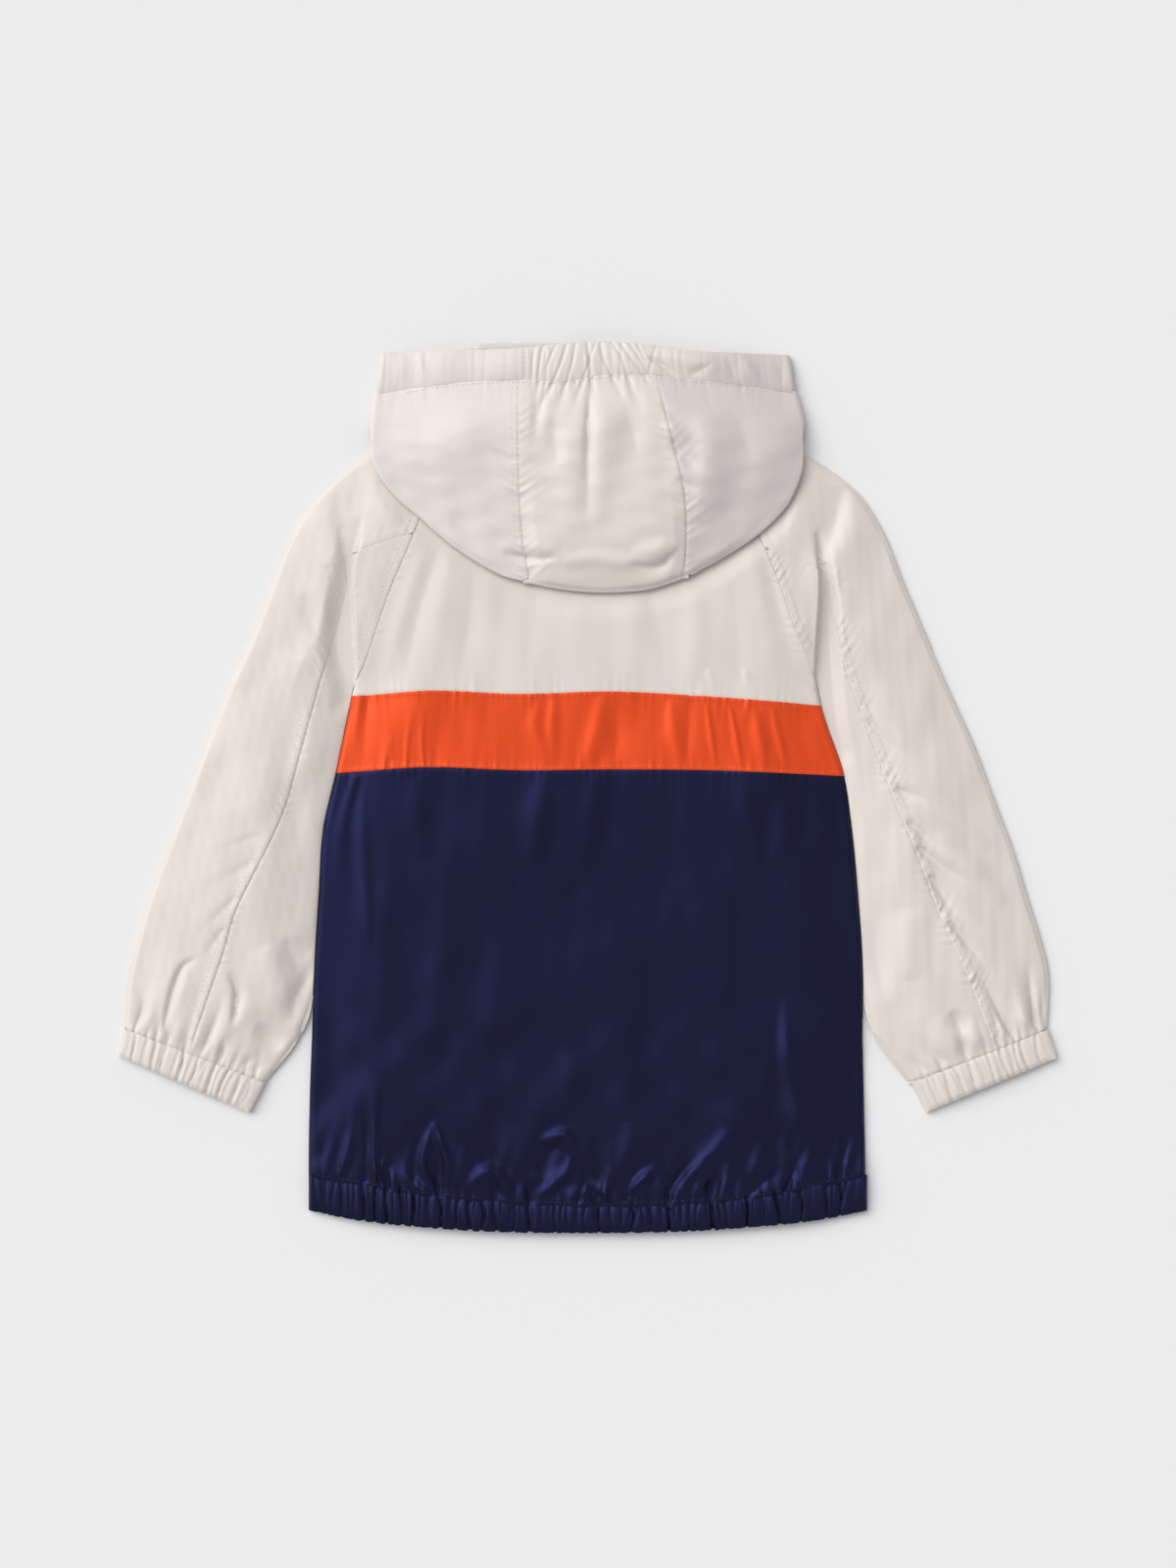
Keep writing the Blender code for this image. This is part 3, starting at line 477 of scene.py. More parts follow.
HOOD_FOLDS = Table(
    FOLD,
    (1, 246, 0, 202, 0, 152, 2.3, -3.6, 0.1, 1),
    (10, 244, 9, 204, 6, 160, 6, 1.6, 0, 0),
    (-10, 246, -12, 206, -8, 164, 6, 1.5, 0, 0),
    (-22, 226, -20, 212, -18, 196, 5, -1.8, 0, 0),
    (-28, 244, -30, 222, -34, 206, 2.6, -1.8, 0, 1),
    (-31, 244, -27, 226, -24, 206, 3.4, 1.5, 0, 1),
    (-15, 246, -16, 236, -16, 228, 2.0, -1.4, 0, 1),
    (15, 250, 11, 242, 6, 234, 2.2, -1.8, 0, 1),
    (26, 250, 27, 242, 34, 234, 1.8, -2.6, 0.2, 1),
    (20, 248, 22, 232, 26, 212, 4.5, 1.4, 0, 1),
    (22, 232, 28, 214, 30, 202, 4.5, -1.3, 0, 0),
    (36, 246, 38, 226, 46, 208, 4, 0.9, 0, 1),
    (-52, 142, -30, 139, -18, 140, 2.2, -2.2, 0.3, 0),
    (-44, 147, -30, 145, -16, 147, 4, 1.2, 0, 0),
    (56, 146, 42, 134, 24, 136, 2.4, -2.4, 0.3, 0),
    (50, 150, 40, 143, 26, 142, 4, 1.4, 0, 0),
    (-16, 136, 4, 139, 30, 135, 3.4, 1.5, 0, 0),
    (-134, 226, -112, 194, -62, 152, 10, -1.3, 0.2, 0),
    (-114, 168, -84, 148, -46, 134, 5, 1.2, 0, 0),
    (-84, 162, -68, 150, -52, 140, 4.0, -0.8, 0, 0),
    (-84, 168, -74, 162, -62, 158, 3.4, -0.5, 0, 0),
    (-58, 206, -50, 200, -40, 198, 1.8, -0.8, 0, 0),
    (-105, 264, -101, 250, -98, 244, 2.6, 0.9, 0, 0),
    (-97, 244, -92, 230, -86, 214, 4.2, -1.2, 0, 1),
    (-107, 240, -106, 232, -102, 222, 3.0, -1.0, 0, 1),
    (-86, 240, -76, 216, -72, 190, 13, 1.4, 0, 0),
    (68, 228, 72, 200, 66, 160, 7, 2.2, 0.3, 0),
    (46, 232, 54, 224, 66, 216, 3.0, -1.5, 0, 1),
    (52, 208, 60, 200, 70, 194, 3.0, -1.5, 0, 1),
    (56, 186, 64, 182, 72, 182, 2.8, -1.2, 0, 1),
    (50, 220, 60, 212, 68, 206, 3.6, 1.0, 0, 1),
    (56, 198, 64, 190, 70, 188, 3.6, 1.0, 0, 1),
    (61, 252, 68, 244, 76, 236, 2.4, -1.6, 0, 1),
    (82, 250, 88, 240, 96, 228, 3.6, -1.3, 0, 1),
    (94, 250, 104, 232, 112, 212, 6, 1.1, 0, 1),
    (76, 246, 92, 222, 98, 196, 6, -1.0, 0, 0),
    (120, 236, 114, 206, 96, 176, 9, 1.2, 0, 0),
    (96, 196, 88, 172, 72, 156, 9, -1.1, 0, 0),
    (60, 132, 84, 146, 104, 162, 4, 0.8, 0, 0),
)
CASING_FOLDS = Table(
    FOLD,
    (-104, 268, -102, 258, -98, 246, 2.6, 1.0, 0, 0),
    (-116, 268, -114, 256, -114, 244, 3.4, 0.7, 0, 0),
    (36, 262, 46, 256, 54, 249, 1.6, -2.6, 0.3, 0),
    (46, 266, 60, 262, 80, 254, 5.5, 2.4, 0, 0),
    (60, 250, 68, 254, 76, 258, 2.6, -1.4, 0, 0),
    (92, 264, 98, 256, 104, 246, 3.4, 1.2, 0, 0),
    (84, 262, 88, 254, 90, 246, 3.0, -1.2, 0, 0),
    (114, 262, 118, 254, 118, 244, 3.4, -0.8, 0, 0),
)


def smoothstep(t):
    t = np.clip(t, 0, 1)
    return t * t * (3 - 2 * t)


def quarter(t):
    """Rise of a quarter circle, from an edge inwards."""
    return np.sqrt(1 - (1 - np.clip(t, 0, 1)) ** 2)


def mixed(start, end, share):
    """From one value to another by a share."""
    return start * (1 - share) + end * share


def constant(value):
    """A line across the plan at one value of the other coordinate."""
    return lambda place: value + 0 * place


def along(edge, steps):
    """An edge read smoothly at fractions of its rows."""
    keys = np.arange(len(edge))
    return np.column_stack([smooth_read(keys, edge[:, i], steps) for i in range(edge.shape[1])])


def curve(points, count):
    """A smooth line through a few points."""
    points = np.array(points, float)
    return along(points, np.linspace(0, len(points) - 1, count))


def line_coords(line, x, y):
    """For each place, how far along a line its nearest point is and how far off it lies, above 0 on its left.

    The last value is the line's length.
    """
    nearest = np.full(np.shape(x), np.inf)
    reached = np.zeros(np.shape(x))
    off = np.zeros(np.shape(x))
    start = 0.0
    for (ax, ay), (bx, by) in zip(line[:-1], line[1:]):
        run_x, run_y = bx - ax, by - ay
        length = math.hypot(run_x, run_y)
        t = np.clip(((x - ax) * run_x + (y - ay) * run_y) / length**2, 0, 1)
        dx, dy = x - ax - t * run_x, y - ay - t * run_y
        distance = np.hypot(dx, dy)
        better = distance < nearest
        nearest = np.where(better, distance, nearest)
        reached = np.where(better, start + t * length, reached)
        off = np.where(better, distance * np.sign(run_x * dy - run_y * dx), off)
        start += length
    return reached, off, start


def distance_to(lines, x, y):
    """Distance in plan to the nearest of some lines."""
    return np.min([np.abs(line_coords(line, x, y)[1]) for line in lines], axis=0)


def beside(side, y):
    """How far from the middle an edge of the back is at a height."""
    return side * SIDES.at("y", "left" if side < 0 else "right", y)


def inner_edge(table, side):
    """A sleeve's inner edge: along the back, and clear of it near the cuff."""
    return np.column_stack([side * (beside(side, table.in_y) + table.in_clear), table.in_y])


def ripple(x, y, seed, size_x, size_y, waves=9):
    """Soft uneven undulation, about -1 to 1, longer one way than the other."""
    random = np.random.default_rng(seed)
    total = np.zeros(np.shape(x))
    for _ in range(waves):
        turn = random.uniform(0, 2 * math.pi)
        stretch = random.uniform(0.6, 1.7)
        phase = random.uniform(0, 2 * math.pi)
        step_x = math.cos(turn) / (size_x * stretch)
        step_y = math.sin(turn) / (size_y * stretch)
        total += np.sin(2 * math.pi * (x * step_x + y * step_y) + phase)
    return total / math.sqrt(waves) * 0.9


def folds(table, x, y, widen=1.0):
    """Height that a table's folds add: soft ridges with a dip beside them, and narrower, sharper troughs."""
    total = np.zeros(np.shape(x))
    for row in table.rows:
        x0, y0, x1, y1, x2, y2, wide, height, lean, hold = row
        spine = curve([(x0, y0), (x1, y1), (x2, y2)], 9)
        reached, off, length = line_coords(spine, x, y)
        t = reached / length
        if hold:
            fade = (1 - t) * (0.6 + 0.4 * smoothstep((1 - t) / 0.5))
            half = wide * widen * (0.65 + 0.9 * t)
        else:
            fade = np.sin(math.pi * np.clip(t, 0, 1)) ** 0.8
            half = wide * widen * (0.75 + 0.4 * np.sin(math.pi * t))
        q = np.abs(off) / (half * (1 + lean * np.sign(off)))
        if height > 0:
            shape = np.exp(-q * q) - 0.28 * np.exp(-((q / 2.3) ** 2))
        else:
            shape = np.exp(-(q**1.5)) - 0.22 * np.exp(-((q / 2.6) ** 2))
        total += height * fade * shape
    return total


def puckers(line, x, y, pitch, depth, reach, seed, slant=0.0, side=0):
    """Small puckers across a seam, dying out away from it. side is 1 or -1 for one side of it only."""
    reached, off = line_coords(line, x, y)[:2]
    random = np.random.default_rng(seed)
    away = np.abs(off)
    place = reached + slant * away
    warp = sum(
        random.uniform(0.5, 1.3) * np.sin(2 * math.pi * place / (pitch * factor) + random.uniform(0, 6))
        for factor in (3.1, 5.3, 9.7)
    )
    strength = 0.55 + 0.45 * np.sin(2 * math.pi * reached / (pitch * 7.3) + random.uniform(0, 6))
    strength *= 0.7 + 0.3 * np.sin(2 * math.pi * reached / (pitch * 2.7) + random.uniform(0, 6))
    wave = np.sin(2 * math.pi * place / pitch + warp)
    fade = np.exp(-((away / reach) ** 1.3))
    if side:
        fade = fade * smoothstep(0.5 + side * off / 1.5)
    return depth * strength * fade * (wave - 0.3 * np.cos(2 * (2 * math.pi * place / pitch + warp)))


def groove(line, x, y, depth, wide):
    """A seam's narrow dip."""
    off = line_coords(line, x, y)[1]
    return -depth * np.exp(-((np.abs(off) / wide) ** 1.4))


def allowance(line, x, y, side, width, rise):
    """The seam allowance pressed to one side and stitched down: a raised strip with a dip at its stitches."""
    off = line_coords(line, x, y)[1] * side
    strip = smoothstep(off / 0.8) * smoothstep((width + 1.2 - off) / 2.4)
    stitched = np.exp(-(((off - width + 0.6) / 0.8) ** 2))
    return rise * strip - 0.6 * rise * stitched


def gathers(s, v, first, last, spacing, depth, seed, marked=(), away=None):
    """Uneven troughs drawn in by elastic: s runs along it in mm, v across it from 0 to 1.

    Past the elastic, away is the distance from it: there the troughs widen and die out, each at its own
    length.
    """
    random = np.random.default_rng(seed)
    total = np.zeros(np.broadcast(s, v).shape)
    rows = []
    centre = first
    while centre < last:
        wide = random.uniform(0.7, 1.5)
        drop = depth * random.uniform(0.25, 1.0)
        rows.append((centre, drop, wide, random.normal(0, 1.2)))
        centre += spacing * random.uniform(0.55, 1.5)
    for centre, drop, wide, slant in rows + list(marked):
        bow, reach = random.normal(0, 0.8), random.uniform(5, 17) * (0.6 + 0.5 * drop)
        place = centre + slant * (v - 0.5) + bow * np.sin(math.pi * v)
        if away is not None:
            place = place - (0.3 * slant + 0.5 * bow) * away / 6
            wide = wide * (1 + away / 7)
            drop = drop * np.exp(-((away / reach) ** 1.3))
        q = np.abs(s - place) / wide
        total -= drop * (np.exp(-(q**1.5)) - 0.3 * np.exp(-((q / 2.6) ** 2)))
    return total


# Lines that the heights are measured from.
SLEEVES = {"left": SLEEVE_LEFT, "right": SLEEVE_RIGHT}
SLEEVE_CREASES = {"left": SLEEVE_LEFT_FOLDS, "right": SLEEVE_RIGHT_FOLDS}
CUFFS = {"left": CUFF_LEFT, "right": CUFF_RIGHT}
HOOD_SIDES = {"left": HOOD_SIDE_LEFT, "right": HOOD_SIDE_RIGHT}
BODY_SIDES = [SIDES.edge(name, "y")[UNDERARM_ROW:] for name in SIDE_OF]
SLEEVE_FOLDS = [table.edge("out_x", "out_y") for table in SLEEVES.values()]
FREE_EDGES = [inner_edge(SLEEVES[name], side)[SLEEVE_FREE:] for name, side in SIDE_OF.items()]
RAGLANS = {name: SIDES.edge(name, "y")[: UNDERARM_ROW + 1] for name in SIDE_OF}
ELBOWS = {name: curve(SLEEVES[name].edge("seam_x", "seam_y")[SLEEVE_START:], 60) for name in SIDE_OF}
CUFF_LINES = {
    name: np.array([(table.out_x[0], table.out_y[0]), (table.in_x[0], table.in_y[0])])
    for name, table in CUFFS.items()
}
HOOD_OUTLINE = np.concatenate([
    HOOD_SIDE_LEFT.edge("fold_x", "fold_y"),
    HOOD_BOTTOM.edge()[1:-1],
    HOOD_SIDE_RIGHT.edge("fold_x", "fold_y")[::-1],
])
HOOD_LOW = HOOD_OUTLINE[2:-2]
HOOD_HALF = 132.0

# Gathers on the elastic: where each stronger one is along the edge, its depth, half width and slant.
HEM_GATHERS = (
    (-151, 0.8, 1.2, 0.5),
    (-137.4, 1.3, 1.1, 1.0),
    (-129.6, 1.6, 1.2, -1.0),
    (-123, 1.3, 1.0, 0.5),
    (-114, 1.1, 1.4, 1.2),
    (-106.8, 1.4, 1.0, -0.8),
    (-90, 1.7, 1.3, 0.0),
    (-79.8, 1.3, 1.1, -1.4),
    (-72, 1.0, 1.2, 0.8),
    (-65.4, 1.3, 1.0, 0.0),
    (-56.4, 1.6, 1.4, 1.4),
    (-45, 1.2, 1.0, -0.6),
    (-36, 1.4, 1.3, 0.8),
    (-20, 0.8, 1.0, 0.0),
    (6.6, 1.5, 1.2, 0.6),
    (27, 1.7, 1.2, -1.0),
    (38, 0.9, 1.3, 0.8),
    (49.2, 1.6, 1.1, 0.4),
    (62, 0.9, 1.0, -0.6),
    (75.6, 1.5, 1.3, 1.0),
    (97.2, 1.4, 1.2, -0.6),
    (107, 0.8, 1.0, 0.6),
    (115.8, 1.5, 1.3, 3.4),
    (129.6, 1.4, 1.1, 0.8),
    (145.8, 1.2, 1.0, -0.6),
    (153.6, 1.3, 1.2, 0.4),
)
CUFF_GATHERS = {
    "left": (
        (7.8, 1.3, 1.0, 1.0),
        (15, 0.7, 0.9, 0.0),
        (21.8, 1.3, 1.1, 1.4),
        (28.8, 1.2, 1.0, 0.6),
        (41, 1.7, 1.3, 1.6),
        (50, 0.8, 1.0, 0.0),
        (62.5, 1.5, 1.4, 1.2),
        (71.3, 1.4, 1.0, 0.6),
        (80.3, 1.1, 1.0, 1.4),
        (86.7, 0.9, 0.9, 0.4),
    ),
    "right": (
        (7.6, 1.2, 1.1, 2.0),
        (18, 1.3, 1.0, 1.2),
        (22.5, 1.1, 0.9, 1.6),
        (32.1, 1.4, 1.1, 0.6),
        (41.2, 1.2, 1.0, 1.8),
        (54.7, 1.5, 1.3, 2.2),
        (64, 0.8, 1.0, 0.8),
        (71.5, 1.6, 1.4, 2.6),
        (82, 0.9, 1.0, 0.8),
    ),
}
HOOD_GATHERS = (
    (-33, 1.0, 0.9, 1.5),
    (-28.9, 1.3, 1.0, 2.8),
    (-22.4, 1.1, 0.9, 6.5),
    (-16.9, 1.4, 1.0, 8.3),
    (-10, 1.0, 1.0, 5.5),
    (0.7, 1.7, 1.1, -2.8),
    (1.2, 1.0, 0.9, 7.4),
    (11, 1.2, 1.1, -6.5),
    (18.8, 1.3, 1.0, -9.2),
    (26.6, 1.5, 1.1, -13.9),
    (31, 1.1, 0.9, -12),
    (35, 0.9, 0.8, -9.3),
)
ELASTIC_LEFT, ELASTIC_RIGHT = -37.0, 39.0
CASING_JOINS = (-38.6, -34.4)
JOIN_LINE = np.array([(-36.5, 247.0), (-36.5, 257.0), (-36.5, 268.0)])
JOIN_RIGHT = 38.6
LOWER_CASING_Y = 271.2
LOWER_CASING_Z = 1.4
LOWER_CASING_LIFT = 3.6
CASING_CORNER = 2.0


def hood_margin(x, y):
    """How far inside the hood's outline a place is, roughly, and below 0 outside it."""
    low = np.interp(x, HOOD_LOW[:, 0], HOOD_LOW[:, 1])
    return np.minimum(y - low, HOOD_HALF - np.abs(x))


def in_trough(z, x, y):
    """The crease at each armpit, soft on the sleeve's side and steep on the body's."""
    for table, side in ((ARMPIT_LEFT, -1), (ARMPIT_RIGHT, 1)):
        sleeve_x = side * table.at("y", "sleeve_x", y)
        body_x = side * table.at("y", "body_x", y)
        depth = np.clip(table.at("y", "depth", y), 0, 1)
        depth = depth * smoothstep((table.y[0] - y) / 12) * smoothstep((y - table.y[-1]) / 14)
        out = side * x
        past_sleeve = 1 - smoothstep((out - sleeve_x) / TROUGH_SOFT[side])
        past_body = 1 - smoothstep((body_x - out) / TROUGH_STEEP)
        share = depth * np.where(out > (sleeve_x + body_x) / 2, past_sleeve, past_body)
        z = mixed(z, TROUGH_Z, share)
    return z


def coat_height(x, y):
    """The coat's back and sleeves over the layers below them, before their own folds."""
    sides = distance_to(BODY_SIDES, x, y)
    nearest = np.minimum(sides, distance_to(SLEEVE_FOLDS + FREE_EDGES, x, y))
    covered = smoothstep(1 + hood_margin(x, y) / 18)
    loft = COAT_LOFT + (UNDER_HOOD_LOFT - COAT_LOFT) * covered
    z = UPPER_FOLD_Z + loft * smoothstep(nearest / LOFT_REACH)
    soft = 0.55 * ripple(x, y, 5, 70, 150) + 0.3 * ripple(x, y, 6, 34, 80)
    return z + (1 - 0.8 * covered) * soft * smoothstep(nearest / 20)


def rounded_off(z, distance, reach, edge_z=EDGE_Z):
    """The cloth curves down to a low edge."""
    return edge_z + (z - edge_z) * quarter(distance / reach)


def covered_less(x, y):
    """Folds flatten under the hood."""
    return 1 - 0.75 * smoothstep(hood_margin(x, y) / 10)


RAGLAN_PUCKER = {"left": 0.25, "right": 0.5}
RAGLAN_RISE = {"left": 0.15, "right": 0.35}
ELBOW_PUCKER = {"left": 0.55, "right": 0.9}
FOLD_SHARE = {"left": 1.1, "right": 1.5}
BAND_TOP_LINE = curve(BAND_TOP.edge(), 40)
BAND_BOTTOM_LINE = curve(BAND_BOTTOM.edge(), 40)
HEM_LINE = curve(HEM_STITCH.edge(), 40)


def body_finish(z, x, y):
    z = in_trough(z, x, y)
    z = rounded_off(z, distance_to(BODY_SIDES, x, y), BODY_ROUND)
    return np.maximum(z, EDGE_Z)


def yoke_top(x, y):
    z = coat_height(x, y)
    z += folds(YOKE_FOLDS, x, y) * covered_less(x, y)
    z += 0.12 * ripple(x, y, 21, 22, 70) * covered_less(x, y)
    z += puckers(BAND_TOP_LINE, x, y, 6.3, 0.26, 8, 31)
    z += puckers(BAND_TOP_LINE, x, y, 3.3, 0.14, 4, 32)
    z += allowance(BAND_TOP_LINE, x, y, 1, 1.3, 0.35)
    for name, line in RAGLANS.items():
        side = SIDE_OF[name]
        z += puckers(line, x, y, 5.6, RAGLAN_PUCKER[name], 6, 67 + side, slant=0.7) * covered_less(x, y)
        z += groove(line, x, y, 0.1, 0.9)
    return body_finish(z, x, y)


def band_top(x, y):
    z = coat_height(x, y) + 1.3 * folds(BAND_FOLDS, x, y)
    z += 0.12 * ripple(x, y, 22, 12, 60)
    for seed, line, side in ((41, BAND_TOP_LINE, -1), (42, BAND_BOTTOM_LINE, 1)):
        z += puckers(line, x, y, 3.4, 0.26, 3.6, seed)
        z += puckers(line, x, y, 7.5, 0.26, 9, seed + 5)
        z += allowance(line, x, y, side, 2.6, 0.25)
    return body_finish(z + 0.12, x, y)


def hem_gathers(x, v, away=None):
    return gathers(x, v, -166, 168, 4.2, 0.8, 77, HEM_GATHERS, away)


def hem_low(x):
    """What the back's hem rests on: the front's hem, and the zip in the middle."""
    return HEM_LOW + HEM_MIDDLE_RISE * smoothstep((170 - np.abs(x)) / 60)


def lower_top(x, y):
    above = y - HEM_STITCH.at("x", "y", x)
    z = coat_height(x, y)
    near = 1 - smoothstep(above / 30)
    z = mixed(z, hem_low(x) + HEM_THICK + 0.5, near)
    z += 1.5 * folds(LOWER_FOLDS, x, y, 1.2)
    z += 0.2 * ripple(x, y, 23, 26, 100)
    z += 0.65 * ripple(x, y, 25, 44, 52) * smoothstep((-110 - y) / 60) * smoothstep(above / 14)
    z += hem_gathers(x, 0, np.clip(above, 0, None)) * 1.6
    z += 0.5 * ripple(x, y, 24, 12, 26) * (1 - smoothstep((above - 6) / 46)) * smoothstep(above / 10)
    z += puckers(BAND_BOTTOM_LINE, x, y, 5.4, 0.22, 8, 45)
    z += groove(BAND_BOTTOM_LINE, x, y, 0.3, 0.9)
    z = np.maximum(z, hem_low(x) + 0.6)
    return body_finish(z, x, y)


def cuff_share(name, x, y):
    """Along a cuff's upper line: mm from its outer end, the share of its length, and the distance from it."""
    reached, off, length = line_coords(CUFF_LINES[name], x, y)
    return reached, reached / length, np.abs(off)


def cuff_top_z(share):
    return CUFF_TOP + CUFF_PUFF * np.sin(math.pi * np.clip(share, 0, 1)) ** 0.8


def cuff_gathers(name, s, v, away=None):
    return gathers(s, v, 3, 90, 3.6, 0.7, 91 + SIDE_OF[name], CUFF_GATHERS[name], away)


def sleeve_top(name, x, y):
    side = SIDE_OF[name]
    elbow, raglan = ELBOWS[name], RAGLANS[name]
    open_to_view = covered_less(x, y)
    z = coat_height(x, y)
    stronger_below = FOLD_SHARE[name] + 0.5 * smoothstep((-60 - y) / 40)
    z += folds(SLEEVE_CREASES[name], x, y, 1.2) * open_to_view * stronger_below
    z += 0.35 * ripple(x, y, 51 + side, 30, 60) * open_to_view
    z += 0.1 * ripple(x, y, 54 + side, 10, 22) * open_to_view
    below_yoke = 1 - 0.7 * smoothstep((y - 118) / 20)
    z += puckers(elbow, x, y, 6.2, ELBOW_PUCKER[name], 7.5, 61 + side, slant=0.9, side=side) * below_yoke
    z += puckers(elbow, x, y, 4.7, 0.45, 5, 64 + side, slant=0.4) * below_yoke
    z += allowance(elbow, x, y, side, 5.5, 0.4) * below_yoke
    z += groove(elbow, x, y, 0.35, 0.7) * below_yoke
    z += puckers(raglan, x, y, 5.6, RAGLAN_PUCKER[name], 6, 67 + side, slant=0.7) * open_to_view
    z += allowance(raglan, x, y, side, 5.5, RAGLAN_RISE[name]) * open_to_view
    z += groove(raglan, x, y, 0.1, 0.9)
    s, share, away = cuff_share(name, x, y)
    near = 1 - smoothstep(away / 13)
    z = mixed(z, cuff_top_z(share), near)
    z += cuff_gathers(name, s, 0, away) * 1.5
    z = in_trough(z, x, y)
    z = rounded_off(z, distance_to(SLEEVE_FOLDS, x, y), SLEEVE_ROUND, SLEEVE_EDGE_Z)
    z = rounded_off(z, distance_to(BODY_SIDES, x, y), SLEEVE_ROUND)
    z = rounded_off(z, distance_to(FREE_EDGES, x, y), FREE_ROUND)
    return np.maximum(z, EDGE_Z)


def past_shoulder(x, y):
    return y - SHOULDER.at("x", "y", np.minimum(np.abs(x), SHOULDER.x[-1]))


def hood_floor(x, y):
    """What the hood's lower layer rests on: the coat's back, then down to the surface past the shoulders."""
    return HOOD_Z * (1 - smoothstep((past_shoulder(x, y) - SLOPE_START) / SLOPE_WIDTH))


def hood_base(x, y):
    """What the hood's upper layer and its casing hang over: the same step, bridged by the cloth."""
    t = np.clip((past_shoulder(x, y) + HANG_START) / HANG_WIDTH, 0, 1)
    return HOOD_Z * (1 - (t + smoothstep(t)) / 2)


HOOD_SEAM_LINES = {name: curve(HOOD_SEAMS.edge(name, "y"), 24) for name in SIDE_OF}
HOOD_SEAM_DEPTH = {"left": 0.15, "right": 0.5}
HOOD_SEAM_RISE = {"left": 0.15, "right": 0.4}
CASING_LINE = curve(CASING_STITCH.edge(), 40)


def elastic(x):
    """1 on the stretch of the casing that the elastic draws in, 0 on the smooth ends."""
    return smoothstep((x - ELASTIC_LEFT) / 6) * smoothstep((ELASTIC_RIGHT - x) / 6)


def casing_middle(x):
    """Height of the casing's middle, lower towards its two corners."""
    return CASING_MIDDLE + 2.0 * smoothstep((110 - np.abs(x)) / 90) - 2.5 * smoothstep((np.abs(x) - 84) / 42)


def casing_gathers(x, v, away=None):
    strong = gathers(x, v, -34, 36, 6.0, 0.6, 101, HOOD_GATHERS, away) * elastic(x)
    light = gathers(x, v, -124, 120, 9.0, 0.5, 102, (), away) * (1 - elastic(x))
    return strong + light


def hood_swell(t, bend):
    """The hood rises steadily from its outline, less steeply near its middle by its bend."""
    t = np.clip(t, 0, 1)
    return t * (1 + bend - bend * t)


def hood_top(x, y):
    """The hood's upper side: over its own lower layer, with the folds of its three panels."""
    edge = distance_to([HOOD_OUTLINE], x, y)
    share = smoothstep((x + 70) / 120)
    reach = HOOD_REACH_LEFT + (HOOD_REACH_RIGHT - HOOD_REACH_LEFT) * share
    z = hood_base(x, y) + HOOD_FOLD_Z + HOOD_LOFT * hood_swell(edge / reach, 0.2 + 0.5 * share)
    left, right = HOOD_SEAMS.at("y", "left", y), HOOD_SEAMS.at("y", "right", y)
    centre = smoothstep((x - left) / 9) * smoothstep((right - x) / 9)
    low = HOOD_BOTTOM.at("x", "y", np.clip(x, HOOD_BOTTOM.x[0], HOOD_BOTTOM.x[-1]))
    z += LENS_RISE * centre * quarter((y - low) / LENS_REACH) * (1 - smoothstep((y - low - 20) / 60))
    fade = smoothstep(edge / 5)
    z += 1.3 * folds(HOOD_FOLDS, x, y, 1.3) * fade
    z += 0.4 * ripple(x, y, 111, 46, 60) * fade
    z += 0.2 * ripple(x, y, 112, 26, 18) * fade
    for name, line in HOOD_SEAM_LINES.items():
        seed = 113 + SIDE_OF[name]
        z += puckers(line, x, y, 6.4, 0.5, 8, seed, slant=0.6) * fade
        z += puckers(line, x, y, 3.3, 0.16, 4, seed + 4) * fade
        z += allowance(line, x, y, -1, 5.2, HOOD_SEAM_RISE[name])
        z += groove(line, x, y, HOOD_SEAM_DEPTH[name], 0.8)
    below = np.clip(CASING_STITCH.at("x", "y", x) - y, 0, None)
    near = 1 - smoothstep(below / 38)
    at_casing = hood_base(x, y) + HOOD_FOLD_Z + (casing_middle(x) + 0.4 - HOOD_FOLD_Z) * smoothstep(edge / 14)
    z = mixed(z, at_casing, near)
    z += casing_gathers(x, 0, below) * 1.2
    z += puckers(CASING_LINE, x, y, 5.6, 0.22, 7, 119)
    z += groove(CASING_LINE, x, y, 0.1, 0.9)
    return z


def lift(plan, height):
    return np.dstack([plan, height * np.ones(plan.shape[:2])])


def between_lines(above, below, left, right, rows, columns, past=(0, 0, 0, 0)):
    """Plan grid of a panel with four curved edges: two lines that cross it and two that run down it.

    past is how far it runs on under its neighbours at each of the four.
    """
    down, across = np.linspace(0, 1, rows), np.linspace(0, 1, columns)
    v, u = np.meshgrid(down, across, indexing="ij")
    past_above, past_below, past_left, past_right = past
    y = (above(0 * u) + past_above) * (1 - v) + (below(0 * u) - past_below) * v
    for _ in range(6):
        x = (left(y) - past_left) * (1 - u) + (right(y) + past_right) * u
        y = (above(x) + past_above) * (1 - v) + (below(x) - past_below) * v
    return np.dstack([x, y])


def ruled(a, b, columns, past_a=0.0, past_b=0.0):
    """Plan grid between two edges that run down it, each run on past its line."""
    across = unit(b - a)
    a, b = a - across * past_a, b + across * past_b
    u = (np.linspace(0, 1, columns) if np.isscalar(columns) else columns)[None, :, None]
    return a[:, None] * (1 - u) + b[:, None] * u


def tucked(z, past):
    """Cloth that runs on under its neighbour dips below it."""
    return z - TUCK * smoothstep(past / 0.5)


def drawn_in(edge, towards, by):
    """An edge moved towards another one, row by row."""
    across = towards - edge
    return edge + across / np.linalg.norm(across, axis=1, keepdims=True) * by


def count(length, spacing, step=3):
    """A number of points, one more than a multiple of the step, for a length at about a spacing."""
    return max(1, round(length / spacing / step)) * step + 1


